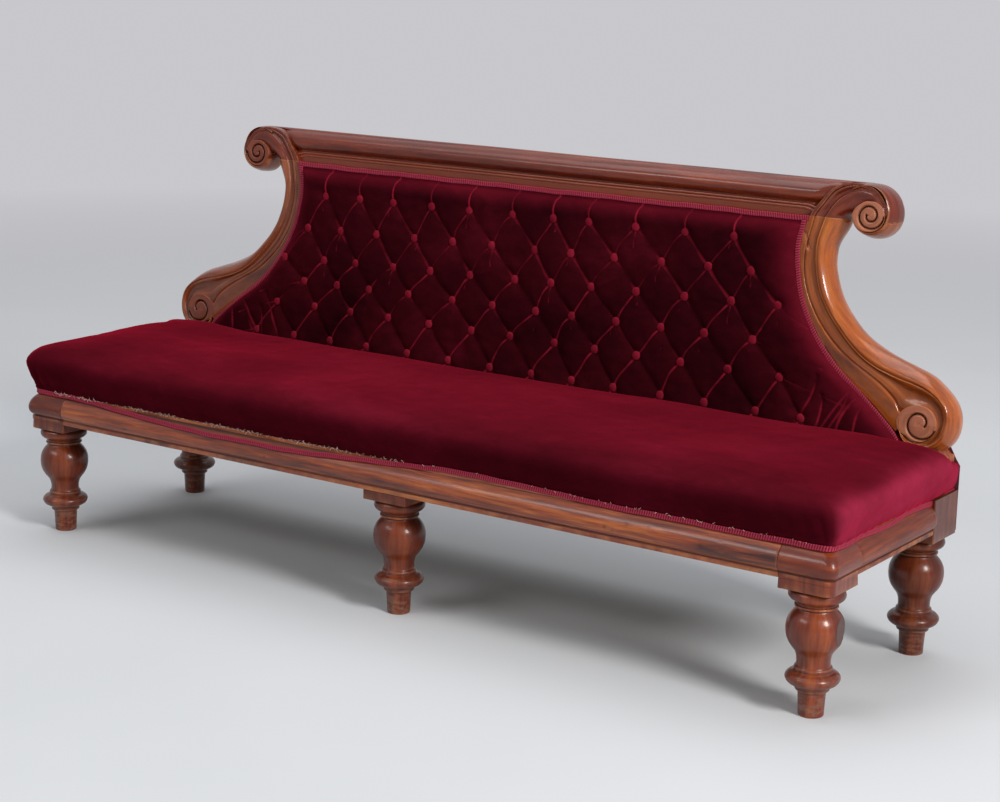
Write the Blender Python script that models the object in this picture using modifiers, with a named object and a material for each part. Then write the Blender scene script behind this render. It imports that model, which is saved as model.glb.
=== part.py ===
"""Victorian billiard room seat: show frame, sprung seat and buttoned back.

Metres, +Z up. The origin is on the floor at the middle of the bench's
length and depth. +X runs to the sitter's left, -Y is the front.
"""
import math

import bmesh
import bpy
from mathutils import Matrix, Vector

# Overall sizes
FRAME_LENGTH = 2.355
FRAME_DEPTH = 0.629
OVERALL_HEIGHT = 1.055
SEAT_RAIL_TOP = 0.385
GAP = 0.0003
OVERRUN = 0.004
MERGE = 0.00002

# Seat rails and their moulding
RAIL_HEIGHT = 0.079
RAIL_THICKNESS = 0.050
RAIL_BAND = 0.0105
RAIL_QUIRK = 0.003
RAIL_QUIRK_HEIGHT = 0.0025
RAIL_QUIRK_SLOPE = 0.0005
TORUS_HEIGHT = 0.056
TORUS_BULGE = 0.010
TORUS_LEAN = 0.006
LEDGE_WIDTH = 0.0125
LEDGE_HEIGHT = 0.0085
TENON_LENGTH = 0.040
TENON_THICKNESS = 0.012
TENON_HEIGHT = 0.045
MOULDED_TENON_SHARE = 0.6
PLAIN_TENON_SHARE = 0.5

# Legs
LEG_SQUARE = 0.125
BLOCK_DROP = 0.023
BLOCK_ROUND = 0.020
BALL_RADIUS = 0.0625
MIDDLE_LEG_SHIFT = 0.015
LEG_SIDES = 16
POST_DEPTH = 0.0697
POST_OUTER_INSET = 0.0145
POST_WIDTH = 0.063
POST_CLEARANCE = 0.006

# Back
RAKE = math.radians(6.1)
BACK_FACE_INSET = 0.0720
BACK_THICKNESS = 0.065
ARM_REACH = 0.4228
SCROLL_IN_SHARE = 0.607
SCROLL_INNER = 0.043
SCROLL_OUTER = 0.068
JOINT_DROP = 0.0145
POCKET_RISE = 0.023
FASCIA_DEPTH = 0.014
FASCIA_HEIGHT = 0.020
ARM_FOOT_WIDTH = 0.043
BACK_RAIL_HEIGHT = 0.050
BACK_RAIL_LIFT = 0.012
UPRIGHT_WIDTH = 0.045
UPRIGHT_PLACE = 0.36

# Inner timbers
STRETCHER_WIDTH = 0.040
STRETCHER_HEIGHT = 0.060
STRETCHER_PLACE = 0.45
CORNER_BLOCK = 0.040
CORNER_BLOCK_HEIGHT = 0.060

# Seat upholstery
WEB_WIDTH = 0.050
WEB_THICKNESS = 0.0015
WEB_EDGE = 0.030
SEAT_WEB_PITCH = 0.150
SEAT_WEB_ROW = 0.110
WEB_NOTCH_MARGIN = 0.008
SPRING_PITCH = 0.300
SPRINGS_IN_ROW = 7
SPRING_RADIUS = 0.040
SPRING_WAIST = 0.030
SPRING_WIRE = 0.0020
SPRING_TURNS = 3
SPRING_POINTS = 8
CLOTH_THICKNESS = 0.0012
HESSIAN_EDGE = 0.030
COVER_THICKNESS = 0.002
COVER_DROP = 0.008
CUSHION_HEIGHT = 0.130
CUSHION_BULGE = 0.0325
CUSHION_BACK_GAP = 0.0125
WING_TOP_GAP = 0.004
GIMP_WIDTH = 0.012
GIMP_THICKNESS = 0.002

# Back upholstery
PANEL_FIT = 0.0005
PANEL_FOOT = 0.040
PANEL_CROWN = 0.016
PANEL_MARGIN = 0.013
PANEL_SLOPE = 0.012
PANEL_BACK = 0.038
BACK_WEB_PITCH = 0.170
BACK_WEB_ROW = 0.130
OUTSIDE_CLOTH_INSET = 0.012
OUTSIDE_CLOTH_LIFT = 0.007

# Fastenings
SCREW_HEAD_RADIUS = 0.0055
SCREW_HEAD_HEIGHT = 0.003
SCREW_SHANK_RADIUS = 0.0025
MIDDLE_SCREW_LENGTH = 0.100
MIDDLE_SCREW_SPREAD = 0.035
ARM_SCREW_LENGTH = 0.080
DOWEL_RADIUS = 0.005
DOWEL_LENGTH = 0.060
ROUND_SIDES = 10

# Positions worked out from the sizes above
HALF_LENGTH = FRAME_LENGTH / 2
RAIL_BOTTOM = SEAT_RAIL_TOP - RAIL_HEIGHT
BLOCK_BOTTOM = RAIL_BOTTOM - BLOCK_DROP
LEDGE_TOP = SEAT_RAIL_TOP - LEDGE_HEIGHT
COVER_SIDE = LEDGE_WIDTH - COVER_THICKNESS - GAP
CUSHION_OVERHANG = CUSHION_BULGE - COVER_SIDE
BACK_SINE = math.sin(RAKE)
BACK_COSINE = math.cos(RAKE)
BACK_BASE = SEAT_RAIL_TOP + GAP + BACK_THICKNESS * BACK_SINE
BACK_HEIGHT = (OVERALL_HEIGHT - BACK_BASE) / BACK_COSINE
BACK_OVERHANG = BACK_HEIGHT * BACK_SINE + BACK_THICKNESS * BACK_COSINE - BACK_FACE_INSET
TOTAL_DEPTH = CUSHION_OVERHANG + FRAME_DEPTH + BACK_OVERHANG
FRONT_FACE = CUSHION_OVERHANG - TOTAL_DEPTH / 2
REAR_FACE = FRONT_FACE + FRAME_DEPTH
BACK_FACE = REAR_FACE - BACK_FACE_INSET
LEG_X = HALF_LENGTH - LEG_SQUARE / 2
LEG_FRONT_Y = FRONT_FACE + LEG_SQUARE / 2
LEG_REAR_Y = REAR_FACE - LEG_SQUARE / 2
BLOCK_INNER_X = HALF_LENGTH - LEG_SQUARE
FRONT_BLOCK_REAR = FRONT_FACE + LEG_SQUARE
REAR_BLOCK_FRONT = REAR_FACE - LEG_SQUARE
SCROLL_X = HALF_LENGTH - SCROLL_IN_SHARE * ARM_REACH
SCROLL_H = BACK_HEIGHT - SCROLL_OUTER
JOINT_H = SCROLL_H - JOINT_DROP
POST_OUTER = HALF_LENGTH - POST_OUTER_INSET
POST_INNER = POST_OUTER - POST_WIDTH
FOOT_OUTER = POST_INNER - GAP
FOOT_INNER = FOOT_OUTER - ARM_FOOT_WIDTH

# Outlines as shares: inwards over the arm's reach, upwards over its height
ARM_INNER_SHARES = ((0.960, 1.000), (0.994, 0.900), (1.000, 0.850), (0.954, 0.700),
                    (0.838, 0.542), (0.642, 0.392), (0.425, 0.276), (0.302, 0.186))
ARM_OUTER_SHARES = ((0.000, 0.262), (0.044, 0.354), (0.150, 0.422), (0.320, 0.474),
                    (0.522, 0.530), (0.658, 0.601), (0.763, 0.695), (0.825, 0.825),
                    (0.824, 0.901), (0.779, 1.000))
ARM_FOOT_SHARE = 0.134
SCROLL_FOOT_SHARES = ((0.089, 0.144), (0.022, 0.189))
# The pocket between arm and scroll: across its width and over its rise
POCKET_SHARES = ((0.00, 0.00), (0.12, 0.55), (0.30, 0.92), (0.52, 1.00), (0.76, 0.78),
                 (0.93, 0.40), (1.00, 0.00))
# Turned leg from under the block to the floor: height and radius shares
LEG_SHARES = ((1.000, 0.80), (0.960, 0.97), (0.925, 0.95), (0.890, 0.70), (0.872, 0.70),
              (0.862, 0.75), (0.845, 0.68), (0.790, 0.89), (0.740, 0.985), (0.692, 1.00),
              (0.640, 0.970), (0.570, 0.840), (0.490, 0.635), (0.430, 0.58), (0.380, 0.62),
              (0.350, 0.68), (0.335, 0.86), (0.305, 0.945), (0.265, 0.86), (0.240, 0.60),
              (0.190, 0.57), (0.180, 0.485), (0.000, 0.44))
# Seat cover from its lower edge to the crown: rise over the cushion's height and
# offset over the bulge, then inset over half the frame's depth
COVER_SIDE_SHARES = ((0.000, 0.00), (0.095, 0.00), (0.11, 0.10), (0.30, 0.72), (0.48, 1.00),
                     (0.66, 0.90), (0.80, 0.45), (0.89, -0.25))
SHOULDER_SHARE = 0.70
COVER_CROWN_SHARES = ((0.945, 0.14), (0.985, 0.38), (1.000, 0.66))

# The post stops under the scroll, whose lower edge leans down towards the rear
SCROLL_FOOT_RISE = SCROLL_FOOT_SHARES[0][1] * JOINT_H
POST_TOP = BACK_BASE + SCROLL_FOOT_RISE * BACK_COSINE - BACK_THICKNESS * BACK_SINE - POST_CLEARANCE
POST_RISE = POST_TOP - SEAT_RAIL_TOP

MATERIALS = {
    "mahogany": ((0.21, 0.065, 0.025), 0.30, 0.0),
    "mahogany_arm": ((0.33, 0.11, 0.035), 0.28, 0.0),
    "beech": ((0.50, 0.34, 0.19), 0.60, 0.0),
    "velvet": ((0.19, 0.010, 0.028), 0.85, 0.0),
    "gimp": ((0.42, 0.045, 0.11), 0.80, 0.0),
    "hessian": ((0.42, 0.31, 0.18), 0.95, 0.0),
    "webbing": ((0.36, 0.28, 0.18), 0.95, 0.0),
    "hair": ((0.10, 0.07, 0.05), 1.00, 0.0),
    "spring_steel": ((0.42, 0.36, 0.30), 0.45, 1.0),
    "brass": ((0.60, 0.44, 0.18), 0.40, 1.0),
}


def clear_scene():
    for item in list(bpy.data.objects):
        bpy.data.objects.remove(item, do_unlink=True)


def new_collection(name):
    collection = bpy.data.collections.new(name)
    bpy.context.scene.collection.children.link(collection)
    return collection


def make_materials():
    made = {}
    for name, (color, roughness, metallic) in MATERIALS.items():
        material = bpy.data.materials.new(name)
        material.use_nodes = True
        shader = material.node_tree.nodes["Principled BSDF"]
        shader.inputs["Base Color"].default_value = (*color, 1.0)
        shader.inputs["Roughness"].default_value = roughness
        shader.inputs["Metallic"].default_value = metallic
        made[name] = material
    return made


clear_scene()
SEAT = new_collection("billiard_seat")
CUTTERS = new_collection("cutters")
FINISH = make_materials()


def add_object(name, mesh, finish, parent=None):
    piece = bpy.data.objects.new(name, mesh)
    SEAT.objects.link(piece)
    if finish:
        mesh.materials.clear()
        mesh.materials.append(FINISH[finish])
    piece.parent = parent
    return piece


def mesh_from(name, work):
    bmesh.ops.recalc_face_normals(work, faces=work.faces[:])
    mesh = bpy.data.meshes.new(name)
    work.to_mesh(mesh)
    work.free()
    return mesh


def box_mesh(name, low, high):
    low = Vector(low)
    high = Vector(high)
    work = bmesh.new()
    bmesh.ops.create_cube(work, size=1.0)
    bmesh.ops.scale(work, vec=high - low, verts=work.verts[:])
    bmesh.ops.translate(work, vec=(low + high) / 2, verts=work.verts[:])
    return mesh_from(name, work)


def box(name, low, high, finish, parent=None):
    return add_object(name, box_mesh(name, low, high), finish, parent)


def plate_mesh(name, outlines, thickness, place):
    """A flat outline, with any holes, made solid by a filled curve."""
    curve = bpy.data.curves.new(name, "CURVE")
    curve.dimensions = "2D"
    curve.fill_mode = "BOTH"
    curve.extrude = thickness / 2
    for outline in outlines:
        spline = curve.splines.new("POLY")
        spline.points.add(len(outline) - 1)
        spline.use_cyclic_u = True
        for point, (across, up) in zip(spline.points, outline):
            point.co = (across, up, 0.0, 1.0)
    guide = bpy.data.objects.new(name + "_outline", curve)
    CUTTERS.objects.link(guide)
    seen = guide.evaluated_get(bpy.context.evaluated_depsgraph_get())
    flat = bpy.data.meshes.new_from_object(seen)
    work = bmesh.new()
    work.from_mesh(flat)
    bmesh.ops.remove_doubles(work, verts=work.verts[:], dist=MERGE)
    bmesh.ops.transform(work, matrix=place, verts=work.verts[:])
    bpy.data.objects.remove(guide, do_unlink=True)
    bpy.data.meshes.remove(flat)
    return mesh_from(name, work)


def stack_mesh(name, rings):
    """Extrude a face from ring to ring; each ring has the same number of points."""
    work = bmesh.new()
    face = work.faces.new([work.verts.new(point) for point in rings[0]])
    order = list(face.verts)
    for ring in rings[1:]:
        raised = bmesh.ops.extrude_discrete_faces(work, faces=[face])["faces"][0]
        face = raised
        order = list(face.verts)
        for vertex, point in zip(order, ring):
            vertex.co = point
    return mesh_from(name, work)


def loft_mesh(name, rings):
    """A closed skin over rings of equal count, capped at both ends."""
    work = bmesh.new()
    previous = [work.verts.new(point) for point in rings[0]]
    work.faces.new(previous)
    count = len(previous)
    for ring in rings[1:]:
        current = [work.verts.new(point) for point in ring]
        for index in range(count):
            after = (index + 1) % count
            work.faces.new((previous[index], previous[after], current[after], current[index]))
        previous = current
    work.faces.new(previous)
    return mesh_from(name, work)


def turned_guide(name, profile, sides, location, finish=None):
    """Spin an X-Z profile, listed top to bottom, into a closed solid."""
    mesh = bpy.data.meshes.new(name)
    edges = [(index, index + 1) for index in range(len(profile) - 1)]
    mesh.from_pydata([(radius, 0.0, height) for radius, height in profile], edges, [])
    piece = add_object(name, mesh, finish)
    piece.location = location
    spin = piece.modifiers.new("spin", "SCREW")
    spin.axis = "Z"
    spin.steps = sides
    spin.render_steps = sides
    spin.use_merge_vertices = True
    spin.merge_threshold = MERGE
    spin.use_smooth_shade = True
    return piece


def make_cutter(piece):
    for collection in list(piece.users_collection):
        collection.objects.unlink(piece)
    CUTTERS.objects.link(piece)
    piece.display_type = "WIRE"
    piece.hide_render = True
    return piece


def combine(piece, other, operation):
    change = piece.modifiers.new(operation.lower() + "_" + other.name, "BOOLEAN")
    change.operation = operation
    change.solver = "EXACT"
    change.object = other


def cut_box(piece, name, low, high):
    combine(piece, make_cutter(box(name, low, high, None, piece.parent)), "DIFFERENCE")


def join_box(piece, name, low, high):
    combine(piece, make_cutter(box(name, low, high, None, piece.parent)), "UNION")


def smooth_path(points, steps):
    """Points along a Catmull-Rom curve through the given points."""
    path = []
    last = len(points) - 1
    for index in range(last):
        before = Vector(points[max(index - 1, 0)])
        start = Vector(points[index])
        end = Vector(points[index + 1])
        after = Vector(points[min(index + 2, last)])
        for step in range(steps):
            t = step / steps
            path.append(tuple(0.5 * (2 * start + (end - before) * t
                                     + (2 * before - 5 * start + 4 * end - after) * t ** 2
                                     + (3 * start - before - 3 * end + after) * t ** 3)))
    path.append(tuple(points[last]))
    return path


def inset(outline, distance):
    """Move every edge of a counter-clockwise outline inwards by the distance."""
    moved = []
    count = len(outline)
    for index, point in enumerate(outline):
        here = Vector(point)
        before = (here - Vector(outline[index - 1])).normalized()
        after = (Vector(outline[(index + 1) % count]) - here).normalized()
        normal_before = Vector((-before.y, before.x))
        normal_after = Vector((-after.y, after.x))
        mitre = normal_before + normal_after
        moved.append(tuple(here + mitre * (distance / (1.0 + normal_before.dot(normal_after)))))
    return moved


def rail_face():
    """Height and outward offset along a seat rail's face, from the band up."""
    torus_bottom = RAIL_BOTTOM + RAIL_BAND + RAIL_QUIRK_HEIGHT
    levels = [(RAIL_BOTTOM, 0.0), (RAIL_BOTTOM + RAIL_BAND - RAIL_QUIRK_SLOPE, 0.0),
              (RAIL_BOTTOM + RAIL_BAND, -RAIL_QUIRK)]
    steps = 7
    for step in range(steps + 1):
        t = step / steps
        bulge = TORUS_BULGE * math.sin(math.pi * t) ** 0.7
        lean = RAIL_QUIRK + TORUS_LEAN * t
        levels.append((torus_bottom + TORUS_HEIGHT * t, bulge - lean))
    levels.append((LEDGE_TOP, -LEDGE_WIDTH))
    levels.append((SEAT_RAIL_TOP, -LEDGE_WIDTH))
    return levels


def rail_outline():
    """A rail's section: across from its outer face, and up."""
    section = [(-offset, height) for height, offset in rail_face()]
    section.append((RAIL_THICKNESS, SEAT_RAIL_TOP))
    section.append((RAIL_THICKNESS, RAIL_BOTTOM))
    return section


def tenon_limits(middle_across):
    centre = RAIL_BOTTOM + RAIL_HEIGHT / 2
    half = TENON_THICKNESS / 2
    return ((middle_across - half, centre - TENON_HEIGHT / 2),
            (middle_across + half, centre + TENON_HEIGHT / 2))


def front_and_rear_rails():
    half = BLOCK_INNER_X - GAP
    across = Matrix(((0, 0, 1, 0), (1, 0, 0, FRONT_FACE), (0, 1, 0, 0), (0, 0, 0, 1)))
    mesh = plate_mesh("front_seat_rail", [rail_outline()], 2 * half, across)
    front = add_object("front_seat_rail", mesh, "mahogany")
    low, high = tenon_limits(FRONT_FACE + RAIL_THICKNESS * MOULDED_TENON_SHARE)
    join_box(front, "front_rail_tenons", (-half - TENON_LENGTH, low[0], low[1]),
             (half + TENON_LENGTH, high[0], high[1]))
    rear = box("rear_seat_rail", (-half, REAR_FACE - RAIL_THICKNESS, RAIL_BOTTOM),
               (half, REAR_FACE, SEAT_RAIL_TOP), "beech")
    low, high = tenon_limits(REAR_FACE - RAIL_THICKNESS * PLAIN_TENON_SHARE)
    join_box(rear, "rear_rail_tenons", (-half - TENON_LENGTH, low[0], low[1]),
             (half + TENON_LENGTH, high[0], high[1]))
    return front


def side_rail(side, name):
    front = FRONT_BLOCK_REAR + GAP
    rear = REAR_BLOCK_FRONT - GAP
    middle = (front + rear) / 2
    place = Matrix(((-side, 0, 0, side * HALF_LENGTH), (0, 0, 1, middle), (0, 1, 0, 0), (0, 0, 0, 1)))
    mesh = plate_mesh(name, [rail_outline()], rear - front, place)
    rail = add_object(name, mesh, "mahogany")
    low, high = tenon_limits(HALF_LENGTH - RAIL_THICKNESS * MOULDED_TENON_SHARE)
    sides = sorted((side * low[0], side * high[0]))
    join_box(rail, name + "_tenons", (sides[0], front - TENON_LENGTH, low[1]),
             (sides[1], rear + TENON_LENGTH, high[1]))


def mortises(leg, side, end):
    """Pockets in a corner block for the long rail's tenon and the side rail's."""
    reach = TENON_LENGTH + GAP
    share = MOULDED_TENON_SHARE if end < 0 else PLAIN_TENON_SHARE
    face = FRONT_FACE if end < 0 else REAR_FACE
    low, high = tenon_limits(face - end * RAIL_THICKNESS * share)
    ends = sorted((side * (BLOCK_INNER_X - OVERRUN), side * (BLOCK_INNER_X + reach)))
    cut_box(leg, leg.name + "_long_mortise", (ends[0], low[0] - GAP, low[1] - GAP),
            (ends[1], high[0] + GAP, high[1] + GAP))
    low, high = tenon_limits(HALF_LENGTH - RAIL_THICKNESS * MOULDED_TENON_SHARE)
    across = sorted((side * (low[0] - GAP), side * (high[0] + GAP)))
    block_edge = FRONT_BLOCK_REAR if end < 0 else REAR_BLOCK_FRONT
    depth = sorted((block_edge - end * OVERRUN, block_edge + end * reach))
    cut_box(leg, leg.name + "_side_mortise", (across[0], depth[0], low[1] - GAP),
            (across[1], depth[1], high[1] + GAP))


def turning(leg, x, y):
    """The turned part of a leg, joined to its block."""
    shares = ((1.0, LEG_SHARES[0][1]),) + LEG_SHARES
    profile = [(radius * BALL_RADIUS, height * BLOCK_BOTTOM) for height, radius in shares]
    profile[0] = (profile[0][0], BLOCK_BOTTOM + OVERRUN)
    profile = [(0.0, BLOCK_BOTTOM + OVERRUN)] + profile + [(0.0, 0.0)]
    part = turned_guide(leg.name + "_turning", profile, LEG_SIDES, (x, y, 0.0))
    combine(leg, make_cutter(part), "UNION")


def corner_ring(side, offset, height):
    """Plan of a front corner block with its two outer faces moved outwards."""
    inner = BLOCK_INNER_X
    centre_x = HALF_LENGTH - BLOCK_ROUND
    centre_y = FRONT_FACE + BLOCK_ROUND
    radius = BLOCK_ROUND + offset
    plan = [(inner, FRONT_BLOCK_REAR), (inner, FRONT_FACE - offset)]
    steps = 4
    for step in range(steps + 1):
        angle = -math.pi / 2 + math.pi / 2 * step / steps
        plan.append((centre_x + radius * math.cos(angle), centre_y + radius * math.sin(angle)))
    plan.append((HALF_LENGTH + offset, FRONT_BLOCK_REAR))
    return [(side * x, y, height) for x, y in plan]


def front_corner_leg(side, name):
    levels = [(BLOCK_BOTTOM, 0.0)] + rail_face()[1:]
    rings = [corner_ring(side, offset, height) for height, offset in levels]
    leg = add_object(name, loft_mesh(name, rings), "mahogany")
    turning(leg, side * LEG_X, LEG_FRONT_Y)
    mortises(leg, side, -1)


def middle_leg(front_rail):
    name = "front_middle_leg"
    behind = FRONT_FACE + RAIL_THICKNESS + GAP
    rear = FRONT_BLOCK_REAR
    below = RAIL_BOTTOM - GAP
    top = SEAT_RAIL_TOP
    section = [(FRONT_FACE, BLOCK_BOTTOM), (rear, BLOCK_BOTTOM), (rear, top), (behind, top),
               (behind, below), (FRONT_FACE, below)]
    place = Matrix(((0, 0, 1, MIDDLE_LEG_SHIFT), (1, 0, 0, 0), (0, 1, 0, 0), (0, 0, 0, 1)))
    leg = add_object(name, plate_mesh(name, [section], LEG_SQUARE, place), "mahogany")
    turning(leg, MIDDLE_LEG_SHIFT, LEG_FRONT_Y)
    height = RAIL_BOTTOM + RAIL_HEIGHT / 2
    tip = rear - MIDDLE_SCREW_LENGTH
    for label, side in (("left", -1), ("right", 1)):
        place = (MIDDLE_LEG_SHIFT + side * MIDDLE_SCREW_SPREAD, rear, height)
        screw("middle_leg_screw_" + label, place, (0, -1, 0), MIDDLE_SCREW_LENGTH)
        for target in (leg, front_rail):
            hole = screw_hole(target.name + "_hole_" + label, place, (0, 1, 0), rear - tip)
            combine(target, hole, "DIFFERENCE")


def axis_turn(direction):
    """Rotation that lays +Z along the direction."""
    return Vector((0, 0, 1)).rotation_difference(Vector(direction)).to_matrix().to_4x4()


def screw(name, place, direction, length, parent=None):
    """A slotless wood screw: flat head outside the face, shank along the direction."""
    head = SCREW_HEAD_RADIUS
    shank = SCREW_SHANK_RADIUS
    profile = [(0.0, length), (shank * 0.5, length), (shank, length - 4 * shank), (shank, -GAP),
               (head, -GAP), (head, -GAP - SCREW_HEAD_HEIGHT), (0.0, -GAP - SCREW_HEAD_HEIGHT)]
    piece = turned_guide(name, profile, ROUND_SIDES, (0, 0, 0), "brass")
    piece.parent = parent
    piece.matrix_local = Matrix.Translation(place) @ axis_turn(direction)
    return piece


def screw_hole(name, place, direction, length, radius=SCREW_SHANK_RADIUS):
    """A clearance hole that runs from outside the face back past the screw's tip."""
    work = bmesh.new()
    depth = length + GAP + OVERRUN
    bmesh.ops.create_cone(work, cap_ends=True, segments=ROUND_SIDES, radius1=radius + GAP,
                          radius2=radius + GAP, depth=depth)
    bmesh.ops.translate(work, vec=(0, 0, OVERRUN - depth / 2), verts=work.verts[:])
    hole = add_object(name, mesh_from(name, work), None)
    hole.matrix_local = Matrix.Translation(place) @ axis_turn(direction)
    return make_cutter(hole)


def rear_corner_leg(side, name):
    def across(inner, outer):
        return sorted((side * inner, side * outer))

    block = across(BLOCK_INNER_X, HALF_LENGTH)
    leg = box(name, (block[0], REAR_BLOCK_FRONT, BLOCK_BOTTOM), (block[1], REAR_FACE, LEDGE_TOP),
              "mahogany")
    step = across(BLOCK_INNER_X, HALF_LENGTH - LEDGE_WIDTH)
    join_box(leg, name + "_step", (step[0], REAR_BLOCK_FRONT, LEDGE_TOP - OVERRUN),
             (step[1], REAR_FACE, SEAT_RAIL_TOP))
    post = across(POST_INNER, POST_OUTER)
    join_box(leg, name + "_post", (post[0], REAR_FACE - POST_DEPTH, SEAT_RAIL_TOP - OVERRUN),
             (post[1], REAR_FACE, POST_TOP))
    turning(leg, side * LEG_X, LEG_REAR_Y)
    mortises(leg, side, 1)
    return leg


def inner_timbers():
    front = FRONT_FACE + RAIL_THICKNESS + GAP
    rear = REAR_FACE - RAIL_THICKNESS - GAP
    low = SEAT_RAIL_TOP - LEDGE_HEIGHT - STRETCHER_HEIGHT
    for label, side in (("left", -1), ("right", 1)):
        centre = side * STRETCHER_PLACE
        box("seat_stretcher_" + label, (centre - STRETCHER_WIDTH / 2, front, low),
            (centre + STRETCHER_WIDTH / 2, rear, low + STRETCHER_HEIGHT), "beech")
        ends = sorted((side * (BLOCK_INNER_X - GAP), side * (BLOCK_INNER_X - GAP - CORNER_BLOCK)))
        for place, start, sign in (("front", front, 1), ("rear", rear, -1)):
            depth = sorted((start, start + sign * CORNER_BLOCK))
            base = SEAT_RAIL_TOP - LEDGE_HEIGHT - CORNER_BLOCK_HEIGHT
            box("corner_block_" + place + "_" + label, (ends[0], depth[0], base),
                (ends[1], depth[1], base + CORNER_BLOCK_HEIGHT), "beech")


def arm_point(side, share):
    return (side * (HALF_LENGTH - share[0] * ARM_REACH), share[1] * JOINT_H)


def inner_edge(side, steps=3):
    """The arm's edge beside the upholstery, from the joint down to its foot."""
    points = [arm_point(side, share) for share in ARM_INNER_SHARES]
    foot = (side * FOOT_INNER, ARM_FOOT_SHARE * JOINT_H)
    return points[:1] + smooth_path(points[1:], steps) + [foot]


def outer_edge(side, steps=2):
    return smooth_path([arm_point(side, share) for share in ARM_OUTER_SHARES], steps)


def scroll_point(side, degrees):
    """A point of the top scroll, whose radius grows from the pocket to the top."""
    share = (degrees - 180.0) / 270.0
    radius = SCROLL_INNER + (SCROLL_OUTER - SCROLL_INNER) * share
    angle = math.radians(degrees)
    return (side * (SCROLL_X + radius * math.cos(angle)), SCROLL_H + radius * math.sin(angle))


def scroll_arc(side, start, stop, steps):
    return [scroll_point(side, start + (stop - start) * step / steps) for step in range(steps + 1)]


def joint_angle(start, stop):
    """Angle between the two given where the scroll's curve meets the joint line."""
    for _ in range(40):
        middle = (start + stop) / 2
        if (scroll_point(1, middle)[1] - JOINT_H) * (scroll_point(1, start)[1] - JOINT_H) > 0:
            start = middle
        else:
            stop = middle
    return start


def back_place(back, x, depth, height):
    """World position of a point given in the raked back's own directions."""
    return Matrix.Translation(back.location) @ back.rotation_euler.to_matrix().to_4x4() @ Vector(
        (x, depth, height))


def back_plate(name, outlines, front, rear, finish, parent):
    """A plate in the raked back, between two depths behind the arms' face."""
    place = Matrix(((1, 0, 0, 0), (0, 0, 1, (front + rear) / 2), (0, 1, 0, 0), (0, 0, 0, 1)))
    return add_object(name, plate_mesh(name, outlines, rear - front, place), finish, parent)


def scroll_arm(side, name, back):
    bottom = [arm_point(side, share) for share in SCROLL_FOOT_SHARES]
    outline = inner_edge(side)
    outline += [(side * FOOT_INNER, 0.0), (side * FOOT_OUTER, 0.0), (side * FOOT_OUTER, SCROLL_FOOT_RISE)]
    outline += bottom
    outline += outer_edge(side)
    return back_plate(name, [outline], 0.0, BACK_THICKNESS, "mahogany_arm", back)


def crest_rail(back):
    """One board from scroll to scroll: the joint line, the pockets and the rolled ends."""
    left_angle = joint_angle(180.0, 270.0)
    right_angle = joint_angle(300.0, 360.0)

    def end(side):
        outer = arm_point(side, ARM_OUTER_SHARES[-1])
        start = scroll_point(side, left_angle)
        lift = JOINT_H + GAP
        path = []
        for across, up in POCKET_SHARES:
            x = outer[0] + (start[0] - outer[0]) * across
            path.append((x, lift + POCKET_RISE * up))
        rise = scroll_arc(side, right_angle, 450.0, 8)
        rise[0] = (rise[0][0], lift)
        return path + rise

    right = end(1)
    left = end(-1)
    outline = right + left[::-1]
    crest = back_plate("crest_rail", [outline], 0.0, BACK_THICKNESS, "mahogany", back)
    edge = HALF_LENGTH - ARM_REACH * ARM_INNER_SHARES[0][0]
    cut_box(crest, "fascia_recess", (-edge, -OVERRUN, JOINT_H - OVERRUN),
            (edge, FASCIA_DEPTH, JOINT_H + FASCIA_HEIGHT))
    blocks = []
    for label, side in (("left", -1), ("right", 1)):
        arc = scroll_arc(side, left_angle, right_angle, 8)
        blocks.append(back_plate("scroll_block_" + label, [arc], 0.0, BACK_THICKNESS, "mahogany", back))
    return crest


def dowels(crest, arms, back):
    for label, side in (("left", -1), ("right", 1)):
        inner = arm_point(side, ARM_INNER_SHARES[0])
        outer = arm_point(side, ARM_OUTER_SHARES[-1])
        place = ((inner[0] + outer[0]) / 2, BACK_THICKNESS / 2, JOINT_H)
        for name, radius, length, finish in (("dowel_" + label, DOWEL_RADIUS, DOWEL_LENGTH, "beech"),
                                             ("dowel_hole_" + label, DOWEL_RADIUS + GAP,
                                              DOWEL_LENGTH + 2 * GAP, None)):
            work = bmesh.new()
            bmesh.ops.create_cone(work, cap_ends=True, segments=ROUND_SIDES, radius1=radius,
                                  radius2=radius, depth=length)
            bmesh.ops.translate(work, vec=place, verts=work.verts[:])
            piece = add_object(name, mesh_from(name, work), finish, back)
            if finish is None:
                make_cutter(piece)
                combine(crest, piece, "DIFFERENCE")
                combine(arms[label], piece, "DIFFERENCE")


def arm_screws(legs, arms, back):
    """One sunk screw through each arm's foot into the post beside it."""
    recess = SCREW_HEAD_HEIGHT + 3 * GAP
    for label, side in (("left", -1), ("right", 1)):
        spot = back_place(back, 0.0, BACK_THICKNESS / 2, POST_RISE / 2)
        spot.x = side * (FOOT_INNER + recess)
        screw("arm_screw_" + label, spot, (side, 0, 0), ARM_SCREW_LENGTH)
        for target in (legs[label], arms[label]):
            hole = screw_hole(target.name + "_screw_hole", spot, (-side, 0, 0), ARM_SCREW_LENGTH)
            combine(target, hole, "DIFFERENCE")
        face = spot.copy()
        face.x = side * FOOT_INNER
        sink = screw_hole(arms[label].name + "_sink", face, (-side, 0, 0), recess, SCREW_HEAD_RADIUS)
        combine(arms[label], sink, "DIFFERENCE")


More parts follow.
